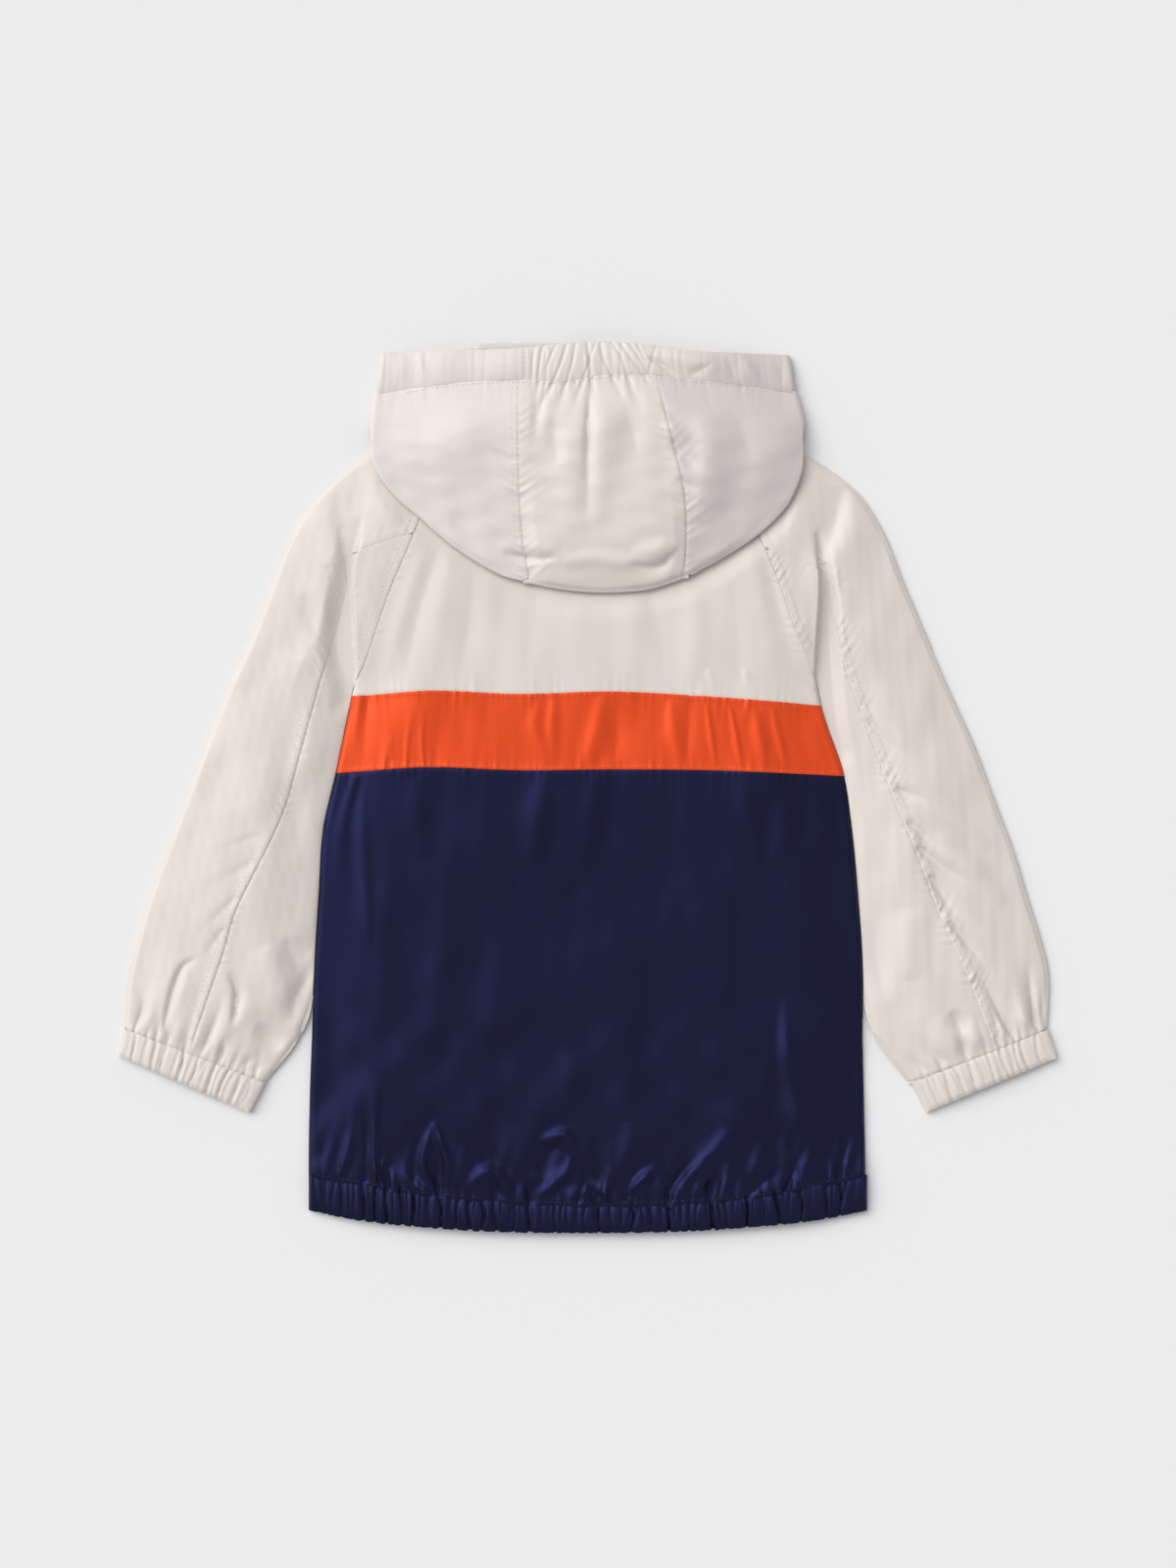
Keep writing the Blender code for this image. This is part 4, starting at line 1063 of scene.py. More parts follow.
def nose(edge, outwards, low, high, steps):
    """Points round a fold, from its upper side to its lower side, for each row."""
    turn = np.linspace(math.pi / 2, -math.pi / 2, steps + 2)[1:-1]
    middle, radius = (low + high) / 2, (high - low) / 2
    reach = radius[:, None] * np.cos(turn)
    plan = edge[:, None] + outwards[:, None] * reach[..., None]
    height = middle[:, None] + radius[:, None] * np.sin(turn)
    return np.dstack([plan, height])


def unit(vectors):
    return vectors / np.maximum(np.linalg.norm(vectors, axis=-1, keepdims=True), 1e-9)


def grid_normals(points, ring_rows=False, ring_columns=False):
    """Normals of a grid of points from the differences across it."""
    def step(axis, ring):
        if ring:
            return np.roll(points, -1, axis) - np.roll(points, 1, axis)
        return np.gradient(points, axis=axis)

    return unit(np.cross(step(1, ring_columns), step(0, ring_rows)))


def grid_faces(rows, columns, ring_rows, ring_columns, offset=0):
    """Quads of a grid whose points are numbered row by row."""
    row = np.arange(rows if ring_rows else rows - 1)
    column = np.arange(columns if ring_columns else columns - 1)
    row, column = np.meshgrid(row, column, indexing="ij")
    next_row, next_column = (row + 1) % rows, (column + 1) % columns
    corners = [
        row * columns + column,
        row * columns + next_column,
        next_row * columns + next_column,
        next_row * columns + column,
    ]
    return np.stack(corners, axis=-1).reshape(-1, 4) + offset


def rim_faces(fine, coarse):
    """Faces that close a rim between a run of fine points and one of coarse points, by their numbers."""
    step = (len(fine) - 1) // (len(coarse) - 1)
    faces = []
    for i in range(len(coarse) - 1):
        near = list(fine[i * step : (i + 1) * step + 1])
        faces.append(near[::-1] + [coarse[i], coarse[i + 1]])
    return faces


def shell(points, thickness=CLOTH, ring_columns=False, up=(0, 0), step=INNER_STEP):
    """A thin closed sheet from a grid of its outer side: points and faces, with a coarser inner side.

    up is the row and column of a point where the outer side faces up.
    """
    rows, columns = points.shape[:2]
    normals = grid_normals(points, ring_columns=ring_columns)
    flip = normals[up][2] < 0
    if flip:
        normals = -normals
    inner = (points - normals * thickness)[::step, ::step]
    inner_rows, inner_columns = inner.shape[:2]
    far = rows * columns
    outer_index = np.arange(far).reshape(rows, columns)
    inner_index = np.arange(inner_rows * inner_columns).reshape(inner_rows, inner_columns) + far
    outer_faces = grid_faces(rows, columns, False, ring_columns)
    inner_faces = grid_faces(inner_rows, inner_columns, False, ring_columns, far)[:, ::-1]
    faces = outer_faces.tolist() + inner_faces.tolist()
    if ring_columns:
        outer_index = np.concatenate([outer_index, outer_index[:, :1]], axis=1)
        inner_index = np.concatenate([inner_index, inner_index[:, :1]], axis=1)
    faces += rim_faces(outer_index[0], inner_index[0])
    faces += [face[::-1] for face in rim_faces(outer_index[-1], inner_index[-1])]
    if not ring_columns:
        faces += [face[::-1] for face in rim_faces(outer_index[:, 0], inner_index[:, 0])]
        faces += rim_faces(outer_index[:, -1], inner_index[:, -1])
    if not flip:
        faces = [face[::-1] for face in faces]
    return np.concatenate([points.reshape(-1, 3), inner.reshape(-1, 3)]), faces


def make_mesh(name, parts, material, grain=0.0):
    """One object from parts of points, in millimetres, and faces, its weave's map turned by its grain."""
    points, faces, offset = [], [], 0
    for part_points, part_faces in parts:
        points.append(part_points)
        faces += [[index + offset for index in face] for face in part_faces]
        offset += len(part_points)
    points = np.concatenate(points)
    mesh = bpy.data.meshes.new(name)
    mesh.from_pydata((points * MM).tolist(), [], faces)
    mesh.shade_smooth()
    mesh.set_sharp_from_angle(angle=SHARP)
    corners = np.empty(len(mesh.loops), dtype=np.int64)
    mesh.loops.foreach_get("vertex_index", corners)
    turn = math.radians(grain)
    across = points[:, 0] * math.cos(turn) + points[:, 1] * math.sin(turn)
    down = points[:, 1] * math.cos(turn) - points[:, 0] * math.sin(turn)
    layer = mesh.uv_layers.new(name=WEAVE_MAP)
    layer.uv.foreach_set("vector", (np.column_stack([across, down])[corners] * WEAVE_UNIT).ravel())
    mesh.materials.append(material)
    made = bpy.data.objects.new(name, mesh)
    bpy.context.scene.collection.objects.link(made)
    return made


# Materials. The weave map is in centimetres, so a texture's scale is in repeats a centimetre.
def nodes_of(name):
    made = bpy.data.materials.new(name)
    made.use_nodes = True
    tree = made.node_tree
    shader = tree.nodes["Principled BSDF"]
    return made, tree, shader


def add_node(tree, kind, links=None, **settings):
    """A node with its settings; links maps its inputs to sockets or values."""
    node = tree.nodes.new(kind)
    for key, value in settings.items():
        setattr(node, key, value)
    for key, value in (links or {}).items():
        if isinstance(value, bpy.types.NodeSocket):
            tree.links.new(value, node.inputs[key])
        else:
            node.inputs[key].default_value = value
    return node


def stretched_noise(tree, source, scale_x, scale_y, detail=3.0, offset=0.0):
    """Noise whose grains are longer one way than the other."""
    mapping = add_node(tree, "ShaderNodeMapping", {"Vector": source, "Scale": (scale_x, scale_y, 1.0)})
    mapping.inputs["Location"].default_value = (offset, offset * 0.7, offset * 0.3)
    noise = add_node(tree, "ShaderNodeTexNoise", {"Vector": mapping.outputs["Vector"], "Scale": 1.0})
    noise.inputs["Detail"].default_value = detail
    noise.inputs["Roughness"].default_value = 0.6
    return noise.outputs["Fac"]


def spread(tree, value, low, high):
    """A 0 to 1 value brought to a range."""
    node = add_node(tree, "ShaderNodeMapRange", {"Value": value, "To Min": low, "To Max": high})
    node.inputs["From Min"].default_value = 0.3
    node.inputs["From Max"].default_value = 0.7
    return node.outputs["Result"]


def combined(tree, operation, a, b):
    return add_node(tree, "ShaderNodeMath", {0: a, 1: b}, operation=operation).outputs["Value"]


def vector_math(tree, operation, links):
    return add_node(tree, "ShaderNodeVectorMath", links, operation=operation).outputs["Vector"]


def toned(tree, colour, source, tones):
    """Cloth whose tone changes across it: each tone has the place where it starts and where it is full."""
    across = add_node(tree, "ShaderNodeSeparateXYZ", {"Vector": source}).outputs["X"]
    for start, full, tone in tones:
        reach = {"Value": across, "From Min": start, "From Max": full}
        past = add_node(tree, "ShaderNodeMapRange", reach).outputs["Result"]
        change = [value - 1 for value in tone]
        scaled = vector_math(tree, "SCALE", {0: change, "Scale": past})
        factor = vector_math(tree, "ADD", {0: scaled, 1: (1, 1, 1)})
        colour = vector_math(tree, "MULTIPLY", {0: colour, 1: factor})
    return colour


def cloth_material(name, dark, light, roughness, gloss, tint, metallic=0.0, sheen=0.0, bump=0.2, tones=()):
    """Tightly woven nylon: fine threads both ways, uneven slubs that vary its colour and its gloss."""
    made, tree, shader = nodes_of(name)
    source = add_node(tree, "ShaderNodeUVMap", uv_map=WEAVE_MAP).outputs["UV"]
    warp = stretched_noise(tree, source, 22.0, 1.3, detail=4.0)
    weft = stretched_noise(tree, source, 1.1, 26.0, detail=4.0, offset=3.7)
    cloudy = stretched_noise(tree, source, 0.35, 0.22, detail=2.0, offset=8.1)
    warp_share = combined(tree, "MULTIPLY", warp, 0.4)
    weft_share = combined(tree, "MULTIPLY", weft, 0.6)
    thread = combined(tree, "ADD", warp_share, weft_share)
    thread_share = combined(tree, "MULTIPLY", thread, 0.7)
    shade = combined(tree, "ADD", thread_share, combined(tree, "MULTIPLY", cloudy, 0.3))
    mix = add_node(tree, "ShaderNodeMix", data_type="RGBA")
    tree.links.new(spread(tree, shade, 0.0, 1.0), mix.inputs["Factor"])
    colours = [socket for socket in mix.inputs if socket.type == "RGBA"]
    for socket, colour in zip(colours, (dark, light)):
        socket.default_value = (*colour, 1)
    result = next(socket for socket in mix.outputs if socket.type == "RGBA")
    tree.links.new(toned(tree, result, source, tones), shader.inputs["Base Color"])
    tree.links.new(spread(tree, shade, roughness - 0.04, roughness + 0.04), shader.inputs["Roughness"])
    shader.inputs["Specular IOR Level"].default_value = gloss
    shader.inputs["Specular Tint"].default_value = (*tint, 1)
    shader.inputs["Metallic"].default_value = metallic
    shader.inputs["Sheen Weight"].default_value = sheen
    shader.inputs["Sheen Roughness"].default_value = 0.4
    shader.inputs["Sheen Tint"].default_value = (*tint, 1)
    relief = add_node(tree, "ShaderNodeBump", {"Height": thread, "Strength": bump, "Distance": 0.00012})
    tree.links.new(relief.outputs["Normal"], shader.inputs["Normal"])
    return made


def plain_material(name, colour, roughness, metallic=0.0, grain=0.06, scale=900.0):
    """Thread or metal: small uneven specks in its colour and its gloss."""
    made, tree, shader = nodes_of(name)
    source = add_node(tree, "ShaderNodeTexCoord").outputs["Object"]
    noise = add_node(tree, "ShaderNodeTexNoise", {"Vector": source, "Scale": scale, "Detail": 3.0})
    factor = spread(tree, noise.outputs["Fac"], 1 - grain, 1 + grain)
    tree.links.new(vector_math(tree, "SCALE", {0: colour, "Scale": factor}), shader.inputs["Base Color"])
    gloss = spread(tree, noise.outputs["Fac"], roughness - grain, roughness + grain)
    tree.links.new(gloss, shader.inputs["Roughness"])
    shader.inputs["Metallic"].default_value = metallic
    height = {"Height": noise.outputs["Fac"], "Strength": 0.3, "Distance": 0.00005}
    relief = add_node(tree, "ShaderNodeBump", height)
    tree.links.new(relief.outputs["Normal"], shader.inputs["Normal"])
    return made


# Painted shade: the same cream cloth has lit and shaded copies on the hood's sides and past two places of its
# casing, which the tones give in centimetres from the middle: darker on the right, where the hood slopes away
# from the light and lies in shade, and a little lighter and cooler on the lit left.
CREAM_COLOURS = ((0.65, 0.590, 0.535), (0.70, 0.642, 0.588))
HOOD_SIDE_SHADED_COLOURS = {
    "left": ((0.648, 0.607, 0.567), (0.697, 0.655, 0.617)),
    "right": ((0.580, 0.530, 0.502), (0.625, 0.576, 0.548)),
}
CREAM_FINISH = {"roughness": 0.50, "gloss": 0.60, "tint": (1.0, 0.99, 0.98), "sheen": 0.06}
# Painted shade on the casing: a little cooler past -3.65 cm on the left and darker past 6.9 cm on the right,
# like the hood's lit and shaded sides.
CASING_PAINTED_SHADE = ((-3.65, -3.75, (0.975, 1.0, 1.03)), (6.9, 7.8, (0.86, 0.86, 0.90)))
CREAM = cloth_material("cream_nylon", *CREAM_COLOURS, **CREAM_FINISH)
HOOD_SIDE_SHADED_CLOTH = {
    name: cloth_material(f"cream_nylon_{name}", *colours, **CREAM_FINISH)
    for name, colours in HOOD_SIDE_SHADED_COLOURS.items()
}
CASING_SHADED_CLOTH = cloth_material("cream_nylon_painted_shade", *CREAM_COLOURS, **CREAM_FINISH, tones=CASING_PAINTED_SHADE)
ORANGE = cloth_material(
    "orange_satin", (0.70, 0.060, 0.013), (0.80, 0.082, 0.020), 0.38, 0.6, (1.0, 0.45, 0.25), metallic=0.22
)
NAVY = cloth_material(
    "navy_nylon", (0.0062, 0.0058, 0.0105), (0.0086, 0.0082, 0.0145), 0.40, 0.50, (0.20, 0.26, 1.0), bump=0.3
)
TAPE = cloth_material(
    "zip_tape_weave", (0.011, 0.012, 0.032), (0.020, 0.022, 0.055), 0.75, 0.3, (0.5, 0.55, 1.0), bump=0.8
)
CREAM_THREAD = plain_material("cream_thread", (0.66, 0.59, 0.52), 0.6)
ORANGE_THREAD = plain_material("orange_thread", (0.86, 0.12, 0.03), 0.55)
NAVY_THREAD = plain_material("navy_thread", (0.012, 0.013, 0.040), 0.55)
METAL = plain_material("zip_metal_finish", (0.55, 0.55, 0.56), 0.30, metallic=1.0, grain=0.04)
TEETH = plain_material("zip_teeth_finish", (0.016, 0.018, 0.045), 0.35, grain=0.04)


def line_at(table):
    return lambda x: table.at("x", "y", x)


def body_edge(side, past=0.0):
    """An edge of the back. past is how far it runs on under the sleeve, above the underarm."""
    return lambda y: side * (beside(side, y) + past * smoothstep((y - UNDERARM_Y) / UNDERARM_FADE))


def covering(made, body, slot, *nodes):
    """The piece moves with a body and stands for its nodes, which it hides; slot is not used."""
    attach(made, body)
    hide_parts(*nodes)
    return made


def cloth_piece(node, parts, material, slot, grain=0.0, ending="cloth"):
    """A piece of cloth that moves with the coat and stands for its node."""
    covering(make_mesh(f"{node}_{ending}", parts, material, grain), "coat", slot, node)


def trim(made):
    """A piece that only scene.py has, moving with the coat."""
    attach(made, "coat")


# The back.
def build_back():
    """Three of the back's four strips, all but the hem. The yoke and the lower body run on under the stripe's
    edges.
    """
    top, bottom, hem = line_at(BAND_TOP), line_at(BAND_BOTTOM), line_at(HEM_STITCH)
    edges, edges_under = [[body_edge(side, past) for side in (-1, 1)] for past in (0.0, UNDER)]
    band = between_lines(top, bottom, *edges, count(47, 1.0), count(330, 1.0))
    size = count(188, 1.45), count(330, 1.45)
    yoke = between_lines(constant(BACK_NECK_Y), top, *edges_under, *size, past=(0, UNDER, 0, 0))
    size, past = (count(264, 1.3), count(340, 1.25)), (UNDER, UNDER + 0.8, 0, 0)
    lower = between_lines(bottom, hem, *edges, *size, past=past)
    x, y = yoke[..., 0], yoke[..., 1]
    past_band = BAND_TOP.at("x", "y", x) - y
    past_raglan = np.maximum(x - beside(1, y), -x - beside(-1, y))
    yoke_z = tucked(yoke_top(x, y), np.maximum(past_band, past_raglan))
    band_z = band_top(band[..., 0], band[..., 1])
    x, y = lower[..., 0], lower[..., 1]
    past_band, past_hem = y - BAND_BOTTOM.at("x", "y", x), HEM_STITCH.at("x", "y", x) - y
    lower_z = tucked(lower_top(x, y), np.maximum(past_band, past_hem))
    cloth_piece("back_yoke", [shell(lift(yoke, yoke_z))], CREAM, "cream_shell")
    cloth_piece("back_band", [shell(lift(band, band_z))], ORANGE, "orange_satin")
    cloth_piece("back_lower", [shell(lift(lower, lower_z))], NAVY, "navy_shell")


def tube_section(steps, half, edge_steps):
    """A flat tube's section from its stitches to its fold and back.

    Places across it go from 0 to 1, and offsets to each side of its middle from 1 to -1.
    """
    out = np.linspace(0, 1, steps)
    turn = np.linspace(math.pi / 2, -math.pi / 2, edge_steps + 2)[1:-1]
    across = np.concatenate([out, 1 + half * np.cos(turn), out[::-1]])
    side = np.concatenate([np.ones(steps), np.sin(turn), -np.ones(steps)])
    return across, side


def build_hem():
    """The hem's casing: one tube along the back, gathered on its elastic."""
    rows = 11
    v, side = tube_section(rows, half=0.07, edge_steps=FOLD_STEPS)
    v_in = np.clip(v, 0, 1)[None, :]
    across = np.linspace(-1, 1, count(340, 0.6))[:, None]
    x = across * HEM_HALF_WIDTH + 0 * v[None, :]
    gather = hem_gathers(x, v_in)
    top_y, low_y = HEM_STITCH.at("x", "y", x), HEM_EDGE.at("x", "y", x)
    y = top_y + (low_y - top_y) * v[None, :] - 1.1 * gather * v_in**3
    puff = np.sin(math.pi * v_in) ** 0.6
    half = HEM_THICK / 2 * (0.72 + 0.5 * puff)
    low = hem_low(x)
    middle = low + HEM_THICK / 2 + 0.35 * puff + 0.2 * ripple(x, y, 121, 30, 200)
    z = middle + side[None, :] * half + np.where(side > 0, 1, 0)[None, :] * gather * (1.15 + 0.35 * puff)
    z = np.maximum(z, low - 0.2 + 0.35 * (side[None, :] + 1))
    z = rounded_off(z, HEM_HALF_WIDTH + 0.2 - np.abs(x), 2.6, EDGE_Z + 0.6)
    points = np.dstack([x, y, z])
    up = (len(across) // 2, rows // 2)
    tube = shell(points, TUBE_CLOTH, ring_columns=True, up=up, step=1)
    cloth_piece("back_hem", [tube], NAVY, "navy_shell")


# The fronts, under the back.
def front_z(x, y):
    inwards = smoothstep(distance_to(BODY_SIDES, x, y) / 30)
    return FRONT_REST + 0.45 * np.abs(ripple(x, y, 131, 60, 120)) * inwards


def build_front(name):
    """One side's front, flat on the surface with its edge at the zip."""
    side = SIDE_OF[name]

    def outer(y):
        return beside(side, y)

    def across(table):
        return lambda x: table.at("x", "y", side * x)

    pieces = (
        ("yoke", line_at(FRONT_NECK), across(BAND_TOP), 160, CREAM, "cream_shell"),
        ("band", across(BAND_TOP), across(BAND_BOTTOM), 46, ORANGE, "orange_satin"),
        ("lower", across(BAND_BOTTOM), across(HEM_STITCH), 258, NAVY, "navy_shell"),
        ("hem", across(HEM_STITCH), across(HEM_EDGE), 18, NAVY, "navy_shell"),
    )
    inner = constant(ZIP_GAP / 2)
    for part, above, below, length, material, slot in pieces:
        plan = between_lines(above, below, inner, outer, count(length, 3.2), count(160, 3.2))
        x, y = plan[..., 0] * side, plan[..., 1]
        z = front_z(x, y)
        if part == "hem":
            z = z + 0.35 - 0.25 * hem_gathers(x * 0.93, 0.5 * np.ones(x.shape))
        cloth_piece(f"front_{part}_{name}", [shell(np.dstack([x, y, z + CLOTH]))], material, slot)


# The sleeves.
def sleeve_lines(table, side):
    """A sleeve's fold, elbow seam, underarm line and front raglan, row by row, and each row's step."""
    start = SLEEVE_START
    steps = np.concatenate([
        np.linspace(0, start, count(110, 1.9) - 1, endpoint=False),
        np.linspace(start, len(table.out_x) - 1, count(330, 1.35)),
    ])
    fold = along(table.edge("out_x", "out_y"), steps)
    underarm = along(inner_edge(table, side), steps)
    free = steps < SLEEVE_FREE
    underarm[free, 0] = side * (beside(side, underarm[free, 1]) + RAGLAN_GAP)
    seam = along(table.edge("seam_x", "seam_y"), steps)
    seam[steps <= start] = underarm[steps <= start]
    front = underarm.copy()
    low = SIDES.y[NECK_POINT_ROW]
    above = underarm[:, 1] > low
    drop = (FRONT_NECK_Y - low) / (BACK_NECK_Y - low)
    front[above, 1] = low + (underarm[above, 1] - low) * drop
    front[above, 0] = side * (beside(side, front[above, 1]) + RAGLAN_GAP)
    on = np.arange(1, INNER_STEP + 1)
    steps = np.append(steps, steps[-1] + on * 1e-6)

    def run_on(line):
        return np.vstack([line, line[-1] + unit(line[-1:] - line[-2:-1]) * RUN_ON * on[:, None]])

    return steps, run_on(fold), run_on(seam), run_on(underarm), run_on(front)


def build_sleeve(name):
    """A sleeve's outer panel, folded round the outer edge to the front, and its inner one on the back."""
    table, side = SLEEVES[name], SIDE_OF[name]
    steps, fold, seam, underarm, front = sleeve_lines(table, side)
    radius = SLEEVE_EDGE_Z / 2
    inset = drawn_in(fold, seam, radius)
    columns = count(95, 1.5)
    upper = ruled(seam, inset, columns)
    upper[:, -1] = inset
    z = sleeve_top(name, upper[..., 0], upper[..., 1])
    share = np.linspace(0, 1, columns)[None, :] * np.linalg.norm(inset - seam, axis=1)[:, None]
    from_fold = share[:, -1:] - share
    z = mixed(SLEEVE_EDGE_Z, z, smoothstep(from_fold / 2))
    rows_past = np.arange(len(steps)) - (len(steps) - 1 - INNER_STEP)
    under_cuff = np.clip(rows_past, 0, None)[:, None] * RUN_ON
    z = tucked(z, under_cuff)
    outwards = unit(inset - seam)
    wrap = nose(inset, outwards, np.full(len(inset), SLEEVE_REST), z[:, -1], FOLD_STEPS)
    lower_columns = 3 * 7
    lower = ruled(inset, front, np.linspace(0, 1, lower_columns + 1)[1:])
    under_z = SLEEVE_REST + 0.3 * np.abs(ripple(lower[..., 0], lower[..., 1], 141, 50, 90))
    under = lift(lower, 0)
    under[..., 2] = under_z * smoothstep(np.linspace(0, 1, lower_columns)[None, :] / 0.15) + SLEEVE_REST
    points = np.concatenate([lift(upper, 0), wrap, under], axis=1)
    points[:, :columns, 2] = z
    extra = (points.shape[1] - 1) % INNER_STEP
    points = points[:, : points.shape[1] - extra]
    points[:, -1, :2] = front
    grain = SLEEVE_GRAIN * side
    outer = shell(points, up=(len(steps) // 2, 8))
    cloth_piece(f"sleeve_outer_{name}", [outer], CREAM, "cream_shell", grain)
    behind = steps > SLEEVE_START + 0.02
    rows = np.flatnonzero(behind)
    rows = rows[(len(rows) - 1) % INNER_STEP :]
    back = ruled(underarm[rows], seam[rows], count(52, 0.9), past_b=UNDER)
    z = sleeve_top(name, back[..., 0], back[..., 1])
    z = tucked(z, np.maximum(UNDER - np.linalg.norm(back - back[:, -1:], axis=2), under_cuff[rows]))
    cloth_piece(f"sleeve_inner_{name}", [shell(lift(back, z))], CREAM, "cream_shell", grain)


def build_cuff(name):
    """A cuff: a ring of doubled cloth on its elastic, pressed flat."""
    ends = CUFFS[name]
    outer_end, inner_end = ends.edge("out_x", "out_y"), ends.edge("in_x", "in_y")
    rows, columns = count(20, 0.8), 144
    down = np.linspace(0, 1, rows)
    first = outer_end[0] + (outer_end[1] - outer_end[0]) * down[:, None]
    last = inner_end[0] + (inner_end[1] - inner_end[0]) * down[:, None]
    length = np.linalg.norm(last - first, axis=1)[0]
    across = unit(last - first)
    radius = CUFF_TOP / 2
    top_columns, nose_columns = 96, 6
    low_columns = columns - top_columns - 2 * nose_columns
    v = down[:, None]
    roll = 0.9 * np.sin(math.pi * np.clip(v, 0, 1)) ** 0.5 - 0.9 * smoothstep((v - 0.86) / 0.14) - 0.35
    u = np.linspace(0, 1, top_columns)[None, :]
    s = u * length
    gather = cuff_gathers(name, s, v + 0 * u)
    ends_fade = np.sin(math.pi * u) ** 0.3
    z = cuff_top_z(u) + roll * ends_fade + gather * (1.05 + 0.5 * np.sin(math.pi * v)) * ends_fade
    scallop = -0.5 * gather * v**3 * ends_fade
    start, end = first + across * radius, last - across * radius
    plan = start[:, None] * (1 - u[..., None]) + end[:, None] * u[..., None]
    hand = unit(outer_end[1] - outer_end[0])
    plan = plan - hand * scallop[..., None]
    low_u = np.linspace(1, 0, low_columns)[None, :]
    low_plan = start[:, None] * (1 - low_u[..., None]) + end[:, None] * low_u[..., None]
    low_gather = cuff_gathers(name, 93 - low_u * length, v + 0 * low_u)
    low_z = CUFF_REST - 0.45 * low_gather * np.sin(math.pi * low_u) ** 0.3
    right = nose(end, across, np.full(rows, CUFF_REST), z[:, -1], nose_columns)
    left = nose(start, -across, np.full(rows, CUFF_REST), z[:, 0], nose_columns)[:, ::-1]
    points = np.concatenate([lift(plan, z), right, lift(low_plan, low_z), left], axis=1)
    ring = shell(points, 2 * CLOTH, ring_columns=True, up=(rows // 2, 30))
    cloth_piece(f"cuff_{name}", [ring], CREAM, "cream_shell", SLEEVE_GRAIN * SIDE_OF[name])


# The hood.
def turned_hood(upper, upper_z, lower, lower_z, steps=FOLD_STEPS):
    """Grid of a hood panel: its upper side, round its fold, and back underneath."""
    outwards = unit(upper[:, -1] - upper[:, -2])
    low = lower_z[:, 0]
    wrap = nose(upper[:, -1], outwards, low, upper_z[:, -1], steps)
    return np.concatenate([lift(upper, upper_z), wrap, lift(lower, lower_z)], axis=1)


def trimmed(points, step=INNER_STEP):
    """A grid without the columns before its last that its coarse side has no use for."""
    extra = (points.shape[1] - 1) % step
    if not extra:
        return points
    keep = np.ones(points.shape[1], bool)
    keep[-1 - extra : -1] = False
    return points[:, keep]


def build_hood_side(name):
    """A hood side over and under, and its stretch round the front of the neck as a second layer."""
    table, side = HOOD_SIDES[name], SIDE_OF[name]
    steps = np.linspace(0, len(table.fold_x) - 1, count(175, 1.3))
    fold = along(table.edge("fold_x", "fold_y"), steps)
    seam_y = smooth_read(np.arange(len(table.seam_y)), table.seam_y, steps)
    seam = np.column_stack([HOOD_SEAMS.at("y", name, seam_y), seam_y])
    radius = HOOD_FOLD_Z / 2
    inset = drawn_in(fold, seam, radius)
    under = UNDER if side > 0 else 0.0
    upper = ruled(seam, inset, count(90, 1.3), past_a=under)
    rise = CASING_STITCH.at("x", "y", upper[0, :, 0]) + UNDER - upper[0, :, 1]
    upper[..., 1] += rise[None, :] * (1 - smoothstep(np.linspace(0, 1, len(steps)) / 0.3))[:, None]
    inset = upper[:, -1]
    upper_z = hood_top(upper[..., 0], upper[..., 1])
    past_casing = upper[..., 1] - CASING_STITCH.at("x", "y", upper[..., 0])
    past_seam = under - np.linalg.norm(upper - upper[:, :1], axis=2)
    upper_z = tucked(upper_z, np.maximum(past_casing, past_seam))
    fold_z = hood_base(inset[:, 0], inset[:, 1]) + HOOD_FOLD_Z
    to_fold = np.linalg.norm(upper - inset[:, None], axis=2)
    upper_z = mixed(fold_z[:, None], upper_z, smoothstep(to_fold / HOOD_SETTLE))
    lower = ruled(inset, seam, np.linspace(0, 1, 22)[1:])
    lower_z = hood_floor(lower[..., 0], lower[..., 1]) + HOOD_REST
    over = trimmed(turned_hood(upper, upper_z, lower, lower_z))

    def neck(x):
        shoulder = SHOULDER.at("x", "y", x) + 1.5
        beside_zip = np.minimum(FRONT_NECK.at("x", "y", x) + SEAM, shoulder)
        return np.where(x < FRONT_NECK.x[-1], beside_zip, shoulder)

    def top(x):
        return CASING_STITCH.at("x", "y", side * x) - SEAM / 2

    inner, outer = constant(ZIP_GAP / 2), constant(HOOD_FRONT_REACH)
    front = between_lines(top, neck, inner, outer, count(40, 2.6), count(122, 2.6))
    x, y = front[..., 0] * side, front[..., 1]
    front_points = np.dstack([x, y, 0.1 + CLOTH + 0.25 * np.abs(ripple(x, y, 151, 40, 40))])
    layers = [shell(over, up=(over.shape[0] // 2, 20)), shell(front_points)]
    # The right side's cloth carries painted shade, and the left side's a lighter, cooler painted tone for its
    # lit side.
    cloth_piece(f"hood_side_{name}", layers, HOOD_SIDE_SHADED_CLOTH[name], "cream_shell", HOOD_GRAIN * side)


